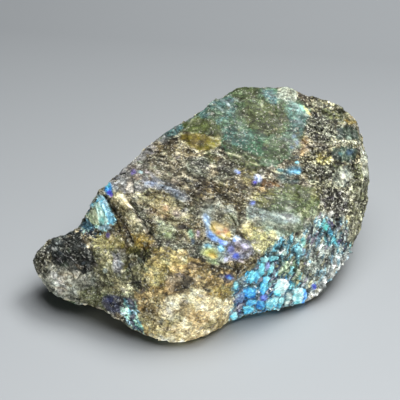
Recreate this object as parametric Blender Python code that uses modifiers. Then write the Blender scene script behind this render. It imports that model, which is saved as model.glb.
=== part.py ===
"""Rough labradorite chunk: one broken piece of feldspar rock, about 10 cm long.

The stone is a wedge. Its broad top face slopes down towards the front, from a
high back rim to a low front ridge. Three convex blocks make its bulk: the main
body, a rounded lobe that swells out at the front, and a toe that juts out to
the left and is undercut. They are joined, hollowed by a shallow basin in the
top face, softened, roughened and cut off flat at z = 0, on the cleavage face
that the stone rests on.

Units in the tables are millimetres; the model is in metres. +Z is up, +X runs
along the stone's length towards its thick end, and -Y is its front.
"""

import random

import bmesh
import bpy
import numpy as np
from mathutils import Matrix, Vector, kdtree, noise

MM = 0.001

# Corners of the main body, (x, y, z).
BODY = [
    # back rim of the top face, from the narrow end to the thick end
    (-25, 14, 27), (-18, 16.5, 29), (-11.5, 19, 30.5), (-3.5, 20.5, 32.5),
    (5, 21, 34.2), (11, 21.5, 35.6), (18, 23, 37.7), (23, 23, 39.2),
    (27.5, 21, 39.4), (36.5, 16.5, 38), (43, 9.5, 37.4), (47.5, 5, 36.5),
    # right-hand rim, falling from the top face to the floor
    (50, 2, 34), (50.5, -2, 31), (49, -7.5, 27), (47.5, -11.5, 23),
    (45, -16, 18.5), (41.5, -19, 15), (37.5, -23, 12), (33, -26.8, 9),
    (27.5, -28, 6.5), (20, -31.5, 3),
    # foot of the steep front face
    (16.5, -31.5, 2), (9, -30, 1.5), (2, -28.5, 1.5), (-5, -26.5, 1.5),
    # front ridge, where the top face turns down
    (-22, 10, 27.5), (-21.5, -2, 26), (-21, -12.5, 24), (-12.5, -21, 23.5),
    (-4.5, -26, 22), (4.5, -25.5, 22), (12, -23, 24), (18.5, -21, 26),
    (25.5, -19, 28), (37, -11, 32),
    # slope at the narrow end
    (-30, 13.5, 23.5), (-33.5, 11.5, 20.5), (-35, 10.5, 18),
    # widest line of the back, low down
    (-31, 15, 7), (-14, 24, 9), (4, 28.5, 8), (22, 29, 9), (37, 22.5, 10),
    (46, 11, 10), (50, -1, 16), (45, -12, 8), (35, -20, 4),
    # underside, which the resting face cuts through
    (-22, -18, -2), (-6, -23, -2), (8, -27, -2), (18, -27.5, -2),
    (30, -19, -2), (39, -8, -2), (42, 5, -2), (35, 18, -2), (20, 25, -2),
    (0, 24, -2), (-18, 20, -2), (-27, 11, -2), (-29, -2, -2), (-27, -13, -2),
]

# Corners of the rounded lobe at the front.
FRONT_LOBE = [
    (-23, -11.5, 24), (-12.5, -21, 23.5), (-6, -26, 20), (-4.5, -27, 10),
    (-6, -26.5, 1.5), (-12, -29, 2), (-18, -29.3, 2), (-24, -27, 2),
    (-29, -24.5, 2.5), (-32, -20.5, 4), (-35.5, -17, 5), (-35.5, -11.5, 14),
    (-27, -11, 21), (-25, -21.5, 15), (-17.5, -24.5, 15), (-13, -25.5, 18),
    (0, -15, 20), (-10, 0, 20), (-25, 0, 20), (-25, 0, 2), (0, -15, 2),
    (-26, -17, -1.5), (-12, -25, -1.5),
]

# Corners of the undercut toe at the narrow end.
TOE = [
    (-50, 10.5, 11.5), (-48.5, 11.5, 13.5), (-45, 11, 16), (-40.5, 10.5, 18.2),
    (-35.5, 9.5, 19), (-32.5, 4, 20), (-49.5, 2, 7), (-50.5, 7.5, 9),
    (-45.5, -3.5, 7), (-41, -10, 5.5), (-35.5, -17, 5), (-31, -9.5, 18),
    (-35, -5, 19), (-44, 3, 13), (-37.5, -2, 15), (-44, 13, 8),
    (-34, 14, 3), (-38, 4, 2), (-25, -8, 0), (-20, 8, 0), (-20, 8, 18),
    (-20, -8, 18),
]

# The hollow in the top face beside the rib: an ellipsoid's middle, half sizes and turn (degrees).
BASIN = (-12.0, -7.5, 33.2)
BASIN_RADII = (10.0, 13.5, 8.0)
BASIN_TURN = (12, -12, 8)

VOXEL = 1.1  # remeshing grid
SOFTEN = 3  # rounds of smoothing over the joins and corners
SWELL = 0.3  # gives back what the smoothing takes off
ROUGH_WAVES = [  # (wavelength, height) of the broken surface's relief
    (22.0, 0.7),
    (8.0, 0.5),
    (3.5, 0.25),
]
CHIP = 8.0  # spacing of the flat chips that the surface is broken into
CHIP_FLAT = 0.4  # 0 leaves the surface as it is, 1 makes each chip flat
CHIP_TILT = 0.03  # how far a chip leans, as a slope
CHIP_MOST = 0.6  # the most that a chip moves the surface
SEED = 11
TRIANGLES = 7600

STONE_COLOUR = (0.20, 0.19, 0.13, 1.0)


def clear():
    for obj in list(bpy.data.objects):
        bpy.data.objects.remove(obj, do_unlink=True)


def collection(name):
    made = bpy.data.collections.new(name)
    bpy.context.scene.collection.children.link(made)
    return made


def block(name, corners, where):
    """The convex solid that spans these corners."""
    bm = bmesh.new()
    for corner in corners:
        bm.verts.new(Vector(corner) * MM)
    hull = bmesh.ops.convex_hull(bm, input=bm.verts)
    inside = {e for e in hull["geom_interior"] if isinstance(e, bmesh.types.BMVert)}
    inside |= {e for e in hull["geom_unused"] if isinstance(e, bmesh.types.BMVert)}
    bmesh.ops.delete(bm, geom=list(inside), context="VERTS")
    bmesh.ops.recalc_face_normals(bm, faces=bm.faces)
    mesh = bpy.data.meshes.new(name)
    bm.to_mesh(mesh)
    bm.free()
    obj = bpy.data.objects.new(name, mesh)
    where.objects.link(obj)
    return obj


def applied(obj):
    """The object's mesh as its modifiers leave it."""
    bpy.context.view_layer.update()
    graph = bpy.context.evaluated_depsgraph_get()
    return bpy.data.meshes.new_from_object(obj.evaluated_get(graph))


def scoop(name, centre, radii, turn, where):
    """An ellipsoid that hollows out the stone. turn is its X, Y, Z rotation in degrees."""
    bm = bmesh.new()
    bmesh.ops.create_uvsphere(bm, u_segments=32, v_segments=16, radius=1.0)
    place = Matrix.Translation(Vector(centre) * MM)
    for axis, degrees in zip("XYZ", turn):
        place = place @ Matrix.Rotation(np.radians(degrees), 4, axis)
    bmesh.ops.transform(bm, matrix=place @ Matrix.Diagonal([r * MM for r in radii] + [1]), verts=bm.verts)
    mesh = bpy.data.meshes.new(name)
    bm.to_mesh(mesh)
    bm.free()
    obj = bpy.data.objects.new(name, mesh)
    where.objects.link(obj)
    return obj


def in_order(mesh):
    """The same mesh with its points and faces in a fixed order. Remeshing numbers them differently from run to run."""
    points = [v.co.copy() for v in mesh.vertices]
    order = sorted(range(len(points)), key=lambda i: points[i][:])
    place = {old: new for new, old in enumerate(order)}
    faces = []
    for polygon in mesh.polygons:
        corners = [place[i] for i in polygon.vertices]
        first = corners.index(min(corners))
        faces.append(corners[first:] + corners[:first])
    faces.sort()
    made = bpy.data.meshes.new(mesh.name)
    made.from_pydata([points[i] for i in order], [], faces)
    made.update()
    return made


def relief(p):
    """How far the broken surface stands out at p (mm)."""
    height = SWELL
    for size, tall in ROUGH_WAVES:
        height += tall * noise.noise(p / size + Vector((size, 3.1, -size)))
    return height


def chip_seeds(points, spacing):
    """Points of the surface, no two of them closer than the spacing."""
    order = list(range(len(points)))
    random.Random(SEED).shuffle(order)
    kept = []
    for i in order:
        p = points[i]
        if all((p - q).length_squared > spacing * spacing for q in kept):
            kept.append(p)
    return kept


def roughen(mesh):
    """Gives the surface its relief, then breaks it into flat chips."""
    bm = bmesh.new()
    bm.from_mesh(mesh)
    bm.normal_update()
    points = [v.co / MM for v in bm.verts]
    normals = [v.normal.copy() for v in bm.verts]
    points = [p + n * relief(p) for p, n in zip(points, normals)]
    seeds = chip_seeds(points, CHIP)
    tree = kdtree.KDTree(len(seeds))
    for i, seed in enumerate(seeds):
        tree.insert(seed, i)
    tree.balance()
    chips = [[] for _ in seeds]
    for k, p in enumerate(points):
        wobble = Vector(noise.noise(p / 6.0 + Vector((0, 0, far))) for far in (11, 37, 71)) * 1.6
        chips[tree.find(p + wobble)[1]].append(k)
    lean = random.Random(SEED + 1)
    for members in chips:
        if not members:
            continue
        middle = sum((points[k] for k in members), Vector()) / len(members)
        facing = sum((normals[k] for k in members), Vector()).normalized()
        facing += Vector(lean.uniform(-CHIP_TILT, CHIP_TILT) for _ in range(3))
        facing.normalize()
        for k in members:
            across = max(normals[k].dot(facing), 0.35)
            gap = (middle - points[k]).dot(facing) / across * CHIP_FLAT
            points[k] += normals[k] * max(-CHIP_MOST, min(CHIP_MOST, gap))
    for v, p in zip(bm.verts, points):
        v.co = p * MM
    bm.to_mesh(mesh)
    bm.free()


def cut_flat(mesh):
    """Cuts the stone off at z = 0, which leaves the face that it rests on."""
    bm = bmesh.new()
    bm.from_mesh(mesh)
    bmesh.ops.bisect_plane(
        bm,
        geom=bm.verts[:] + bm.edges[:] + bm.faces[:],
        dist=1e-6,
        plane_co=(0, 0, 0),
        plane_no=(0, 0, 1),
        clear_inner=True,
    )
    rim = [e for e in bm.edges if e.is_boundary]
    base = bmesh.ops.contextual_create(bm, geom=rim)["faces"]
    for face in base:
        face.normal_update()
        if face.normal.z > 0:
            face.normal_flip()
    bmesh.ops.triangulate(bm, faces=bm.faces[:])
    bm.to_mesh(mesh)
    bm.free()


def centre(mesh):
    """Puts the origin under the middle of the stone, on the resting face."""
    xs = [v.co.x for v in mesh.vertices]
    ys = [v.co.y for v in mesh.vertices]
    zs = [v.co.z for v in mesh.vertices]
    shift = Vector(((min(xs) + max(xs)) / 2, (min(ys) + max(ys)) / 2, min(zs)))
    for v in mesh.vertices:
        v.co -= shift
    return shift


def material():
    mat = bpy.data.materials.new("labradorite")
    mat.use_nodes = True
    shader = mat.node_tree.nodes["Principled BSDF"]
    shader.inputs["Base Color"].default_value = STONE_COLOUR
    shader.inputs["Roughness"].default_value = 0.5
    shader.inputs["Metallic"].default_value = 0.0
    return mat


def build():
    clear()
    stone_parts = collection("labradorite_chunk")
    helpers = collection("blocks")
    body = block("body_block", BODY, helpers)
    lobe = block("lobe_block", FRONT_LOBE, helpers)
    toe = block("toe_block", TOE, helpers)
    for other in (lobe, toe):
        union = body.modifiers.new("join_" + other.name, "BOOLEAN")
        union.operation = "UNION"
        union.solver = "EXACT"
        union.object = other
    basin = scoop("basin_cutter", BASIN, BASIN_RADII, BASIN_TURN, helpers)
    hollow = body.modifiers.new("hollow_basin", "BOOLEAN")
    hollow.operation = "DIFFERENCE"
    hollow.solver = "EXACT"
    hollow.object = basin
    remesh = body.modifiers.new("remesh", "REMESH")
    remesh.mode = "VOXEL"
    remesh.voxel_size = VOXEL * MM
    smooth = bpy.data.objects.new("smooth_bulk", in_order(applied(body)))
    helpers.objects.link(smooth)
    soften = smooth.modifiers.new("soften", "SMOOTH")
    soften.factor = 0.5
    soften.iterations = SOFTEN
    bulk = bpy.data.objects.new("rough_bulk", applied(smooth))
    helpers.objects.link(bulk)
    roughen(bulk.data)
    blunt = bulk.modifiers.new("blunt", "SMOOTH")
    blunt.factor = 0.5
    blunt.iterations = 2
    thin = bulk.modifiers.new("thin", "DECIMATE")
    tri_count = sum(len(p.vertices) - 2 for p in bulk.data.polygons)
    thin.ratio = min(1.0, TRIANGLES / tri_count)
    stone = bpy.data.objects.new("labradorite_chunk", applied(bulk))
    stone_parts.objects.link(stone)
    cut_flat(stone.data)
    shift = centre(stone.data)
    print("moved by", [round(x / MM, 2) for x in shift])
    stone.data.name = "labradorite_chunk"
    stone.data.materials.clear()
    stone.data.materials.append(material())
    stone.data.shade_smooth()
    stone.data.set_sharp_from_angle(angle=0.6)
    for helper in (body, lobe, toe, basin, smooth, bulk):
        helper.hide_render = True
        helper.display_type = "WIRE"


build()
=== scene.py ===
"""Looks of the rough labradorite chunk: the broken crystal relief, its colours and its flashes.

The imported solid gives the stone's shape. A finer copy of it is broken into leaning plates, grains,
steps and cracks, all in millimetres along the surface's own normal, and each kind of ground on the
stone gets its own mix of them and its own palette. Where a kind of ground lies is told by zones and
features, drawn as outlines in the frame of the picture (400 x 400) and carried onto the stone's
surface; the sides that the picture doesn't show get the same grounds, spread by noise.
"""

import math

import bmesh
import bpy
import numpy as np
from mathutils import Matrix, Vector


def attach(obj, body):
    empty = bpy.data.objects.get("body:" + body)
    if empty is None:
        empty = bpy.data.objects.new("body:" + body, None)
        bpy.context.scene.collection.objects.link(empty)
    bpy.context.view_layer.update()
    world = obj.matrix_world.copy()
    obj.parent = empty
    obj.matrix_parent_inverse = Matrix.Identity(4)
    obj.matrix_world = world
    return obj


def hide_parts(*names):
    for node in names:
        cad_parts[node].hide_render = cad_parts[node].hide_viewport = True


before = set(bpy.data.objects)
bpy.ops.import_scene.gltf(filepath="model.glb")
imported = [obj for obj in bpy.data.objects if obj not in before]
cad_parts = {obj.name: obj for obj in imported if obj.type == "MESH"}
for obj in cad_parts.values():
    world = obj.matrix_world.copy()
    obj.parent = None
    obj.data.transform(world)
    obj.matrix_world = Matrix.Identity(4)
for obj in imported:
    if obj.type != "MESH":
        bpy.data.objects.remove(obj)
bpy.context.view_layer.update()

MM = 0.001
NODE = "labradorite_chunk"

# ---------------------------------------------------------------- camera

AZIMUTH, ELEVATION = -27.0, 45.0  # degrees; azimuth 0 looks along +Y
DISTANCE = 0.42
ACROSS = 0.123  # width of the view at the target, in metres
SENSOR = 36.0
LENS = SENSOR * DISTANCE / ACROSS
TARGET = np.array((0.0086, 0.02211, 0.0))

_a, _e = math.radians(AZIMUTH), math.radians(ELEVATION)
BACK = np.array((math.sin(_a) * math.cos(_e), -math.cos(_a) * math.cos(_e), math.sin(_e)))
RIGHT = np.array((math.cos(_a), math.sin(_a), 0.0))
UP = np.cross(BACK, RIGHT)
EYE = TARGET + DISTANCE * BACK


def on_picture(points):
    """Where points (n, 3), in mm, fall in the 400 x 400 picture."""
    d = points * MM - EYE
    k = LENS / SENSOR * 400
    depth = -(d @ BACK)
    return 200 + k * (d @ RIGHT) / depth, 200 - k * (d @ UP) / depth


# ---------------------------------------------------------------- noise, all from hashes, so each run is the same


def hashed(ix, iy, iz, seed):
    """A number from 0 to 1 for each cell of a grid."""
    with np.errstate(over="ignore"):
        h = (
            ix.astype(np.int64).astype(np.uint32) * np.uint32(0x8DA6B343)
            ^ iy.astype(np.int64).astype(np.uint32) * np.uint32(0xD8163841)
            ^ iz.astype(np.int64).astype(np.uint32) * np.uint32(0xCB1AB31F)
            ^ np.uint32((seed * 0x9E3779B9 + 0x7F4A7C15) & 0xFFFFFFFF)
        )
        h ^= h >> np.uint32(15)
        h *= np.uint32(0x2C1B3C6D)
        h ^= h >> np.uint32(12)
        h *= np.uint32(0x297A2D39)
        h ^= h >> np.uint32(15)
    return h.astype(np.float64) / 4294967295.0


def rough(p, size, seed):
    """Gradient noise from about -1 to 1 with features of that size in mm."""
    q = p / size
    i = np.floor(q)
    f = q - i
    u = f * f * f * (f * (f * 6 - 15) + 10)
    total = np.zeros(len(p))
    for dx in (0, 1):
        for dy in (0, 1):
            for dz in (0, 1):
                c = i + (dx, dy, dz)
                g = np.stack([hashed(c[:, 0], c[:, 1], c[:, 2], seed * 7 + k) for k in range(3)], 1) * 2 - 1
                weight = np.ones(len(p))
                for axis, d in enumerate((dx, dy, dz)):
                    weight *= u[:, axis] if d else 1 - u[:, axis]
                total += weight * ((f - (dx, dy, dz)) * g).sum(1)
    return total * 1.5


def rougher(p, size, seed, octaves=3, gain=0.5):
    total, scale = 0.0, 1.0
    for k in range(octaves):
        total = total + scale * rough(p, size / 2**k, seed + 31 * k)
        scale *= gain
    return total


def cells(p, size, seed, stretch=None):
    """Splits space into random cells. Returns for each point its cell's hash (0 to 1, three of them), the
    offset from the cell's middle in mm, and how far it is from the cell's border, as a share of the size."""
    q = p / size if stretch is None else p @ stretch / size
    i = np.floor(q)
    best = np.full(len(p), 9.0)
    second = np.full(len(p), 9.0)
    middle = np.zeros_like(q)
    owner = np.zeros_like(q)
    for dx in (-1, 0, 1):
        for dy in (-1, 0, 1):
            for dz in (-1, 0, 1):
                c = i + (dx, dy, dz)
                at = c + 0.5 + 0.84 * (
                    np.stack([hashed(c[:, 0], c[:, 1], c[:, 2], seed * 5 + k) for k in range(3)], 1) - 0.5
                )
                away = ((q - at) ** 2).sum(1)
                nearer = away < best
                second = np.where(nearer, best, np.minimum(second, away))
                best = np.where(nearer, away, best)
                middle[nearer] = at[nearer]
                owner[nearer] = c[nearer]
    key = np.stack([hashed(owner[:, 0], owner[:, 1], owner[:, 2], seed * 11 + 3 + k) for k in range(3)], 1)
    offset = (q - middle) * size
    if stretch is not None:
        offset = offset @ np.linalg.inv(stretch)
    return key, offset, np.sqrt(second) - np.sqrt(best)


def step(x, low, high):
    """0 below low, 1 above high, smooth between."""
    t = np.clip((x - low) / (high - low), 0, 1)
    return t * t * (3 - 2 * t)


# ---------------------------------------------------------------- the fine copy of the solid

VOXEL = 0.405
BASE_SHARE = 0.842  # of all the faces that stay once the underside is thinned


def fine_copy():
    """The solid's mesh, welded and remeshed finely, with its points and faces in a fixed order."""
    bm = bmesh.new()
    bm.from_mesh(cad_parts[NODE].data)
    bmesh.ops.remove_doubles(bm, verts=bm.verts, dist=2e-6)
    mesh = bpy.data.meshes.new("fine")
    bm.to_mesh(mesh)
    bm.free()
    obj = bpy.data.objects.new("fine", mesh)
    bpy.context.scene.collection.objects.link(obj)
    remesh = obj.modifiers.new("remesh", "REMESH")
    remesh.mode = "VOXEL"
    remesh.voxel_size = VOXEL * MM
    remesh.adaptivity = 0.0
    bpy.context.view_layer.update()
    made = bpy.data.meshes.new_from_object(obj.evaluated_get(bpy.context.evaluated_depsgraph_get()))
    bpy.data.objects.remove(obj)
    points = np.empty(len(made.vertices) * 3, np.float32)
    made.vertices.foreach_get("co", points)
    points = points.reshape(-1, 3).astype(np.float64) / MM
    corners = np.empty(len(made.loops), np.int32)
    made.loops.foreach_get("vertex_index", corners)
    sizes = np.empty(len(made.polygons), np.int32)
    made.polygons.foreach_get("loop_total", sizes)
    bpy.data.meshes.remove(made)
    if not (sizes == 4).all():
        raise RuntimeError("the remesh gave faces that aren't quads")
    faces = corners.reshape(-1, 4)
    order = np.lexsort(points.T[::-1])
    place = np.empty(len(order), np.int64)
    place[order] = np.arange(len(order))
    faces = place[faces]
    first = faces.argmin(1)
    faces = np.take_along_axis(faces, (first[:, None] + np.arange(4)) % 4, 1)
    faces = faces[np.lexsort(faces.T[::-1])]
    return points[order], faces


def neighbours(count, faces):
    """The edges, both ways, as two arrays of point numbers."""
    a = np.concatenate([faces, np.roll(faces, -1, 1)]).ravel()
    b = np.concatenate([np.roll(faces, -1, 1), faces]).ravel()
    return a, b, np.bincount(a, minlength=count).astype(float)


def spread(values, edges, rounds, share=0.5):
    """values averaged with their neighbours' that many times."""
    a, b, count = edges
    values = values.copy()
    for _ in range(rounds):
        if values.ndim == 1:
            total = np.bincount(a, weights=values[b], minlength=len(values)) / count
        else:
            total = np.stack(
                [np.bincount(a, weights=values[b, k], minlength=len(values)) / count for k in range(values.shape[1])], 1
            )
        values += share * (total - values)
    return values


def to_triangles(mesh):
    """Points in mm and triangles, both in a fixed order."""
    mesh.calc_loop_triangles()
    points = np.empty(len(mesh.vertices) * 3, np.float32)
    mesh.vertices.foreach_get("co", points)
    points = points.reshape(-1, 3).astype(np.float64) / MM
    faces = np.empty(len(mesh.loop_triangles) * 3, np.int32)
    mesh.loop_triangles.foreach_get("vertices", faces)
    faces = faces.reshape(-1, 3)
    order = np.lexsort(points.T[::-1])
    place = np.empty(len(order), np.int64)
    place[order] = np.arange(len(order))
    faces = place[faces]
    first = faces.argmin(1)
    faces = np.take_along_axis(faces, (first[:, None] + np.arange(3)) % 3, 1)
    return points[order], faces[np.lexsort(faces.T[::-1])]


def thinned_base(points, faces, share):
    """The same mesh with far fewer faces on the flat underside, which needs no detail of its own."""
    mesh = bpy.data.meshes.new("thinning")
    mesh.from_pydata((points * MM).tolist(), [], faces.tolist())
    obj = bpy.data.objects.new("thinning", mesh)
    bpy.context.scene.collection.objects.link(obj)
    group = obj.vertex_groups.new(name="base")
    inner = (points[:, 2] < 0.2) & (spread((points[:, 2] > 0.2).astype(float), neighbours(len(points), faces), 3) < 0.01)
    group.add([int(i) for i in np.nonzero(inner)[0]], 1.0, "REPLACE")
    thin = obj.modifiers.new("thin", "DECIMATE")
    thin.vertex_group = "base"
    thin.vertex_group_factor = 1000.0
    thin.ratio = share
    bpy.context.view_layer.update()
    made = bpy.data.meshes.new_from_object(obj.evaluated_get(bpy.context.evaluated_depsgraph_get()))
    bpy.data.objects.remove(obj)
    found = to_triangles(made)
    bpy.data.meshes.remove(made)
    return found


def normals_of(points, faces):
    across = np.cross(points[faces[:, 1]] - points[faces[:, 0]], points[faces[:, 2]] - points[faces[:, 0]])
    normals = np.zeros_like(points)
    for k in range(3):
        for axis in range(3):
            normals[:, axis] += np.bincount(faces[:, k], weights=across[:, axis], minlength=len(points))
    return normals / np.maximum(np.linalg.norm(normals, axis=1, keepdims=True), 1e-12)


# ---------------------------------------------------------------- outlines in the picture


def inside(x, y, outline):
    """How far each point is inside a closed outline, in pixels; negative outside."""
    ring = np.array(outline, float)
    away = np.full(len(x), 1e9)
    odd = np.zeros(len(x), bool)
    for (ax, ay), (bx, by) in zip(ring, np.roll(ring, -1, 0)):
        ex, ey = bx - ax, by - ay
        t = np.clip(((x - ax) * ex + (y - ay) * ey) / max(ex * ex + ey * ey, 1e-9), 0, 1)
        away = np.minimum(away, (x - ax - t * ex) ** 2 + (y - ay - t * ey) ** 2)
        crosses = (ay > y) != (by > y)
        with np.errstate(divide="ignore", invalid="ignore"):
            odd ^= crosses & (x < ax + (y - ay) / (by - ay if by != ay else 1e-9) * ex)
    return np.where(odd, 1, -1) * np.sqrt(away)


def from_line(x, y, line):
    """How far each point is from an open line, in pixels."""
    pts = np.array(line, float)
    away = np.full(len(x), 1e9)
    for (ax, ay), (bx, by) in zip(pts[:-1], pts[1:]):
        ex, ey = bx - ax, by - ay
        t = np.clip(((x - ax) * ex + (y - ay) * ey) / max(ex * ex + ey * ey, 1e-9), 0, 1)
        away = np.minimum(away, (x - ax - t * ex) ** 2 + (y - ay - t * ey) ** 2)
    return np.sqrt(away)


def from_oval(x, y, cx, cy, rx, ry, turn=0.0):
    """Distance from an oval's middle as a share of its size. turn is in degrees, clockwise in the picture."""
    c, s = math.cos(math.radians(turn)), math.sin(math.radians(turn))
    dx, dy = x - cx, y - cy
    return np.hypot((dx * c + dy * s) / rx, (-dx * s + dy * c) / ry)


# ---------------------------------------------------------------- grounds

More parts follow.
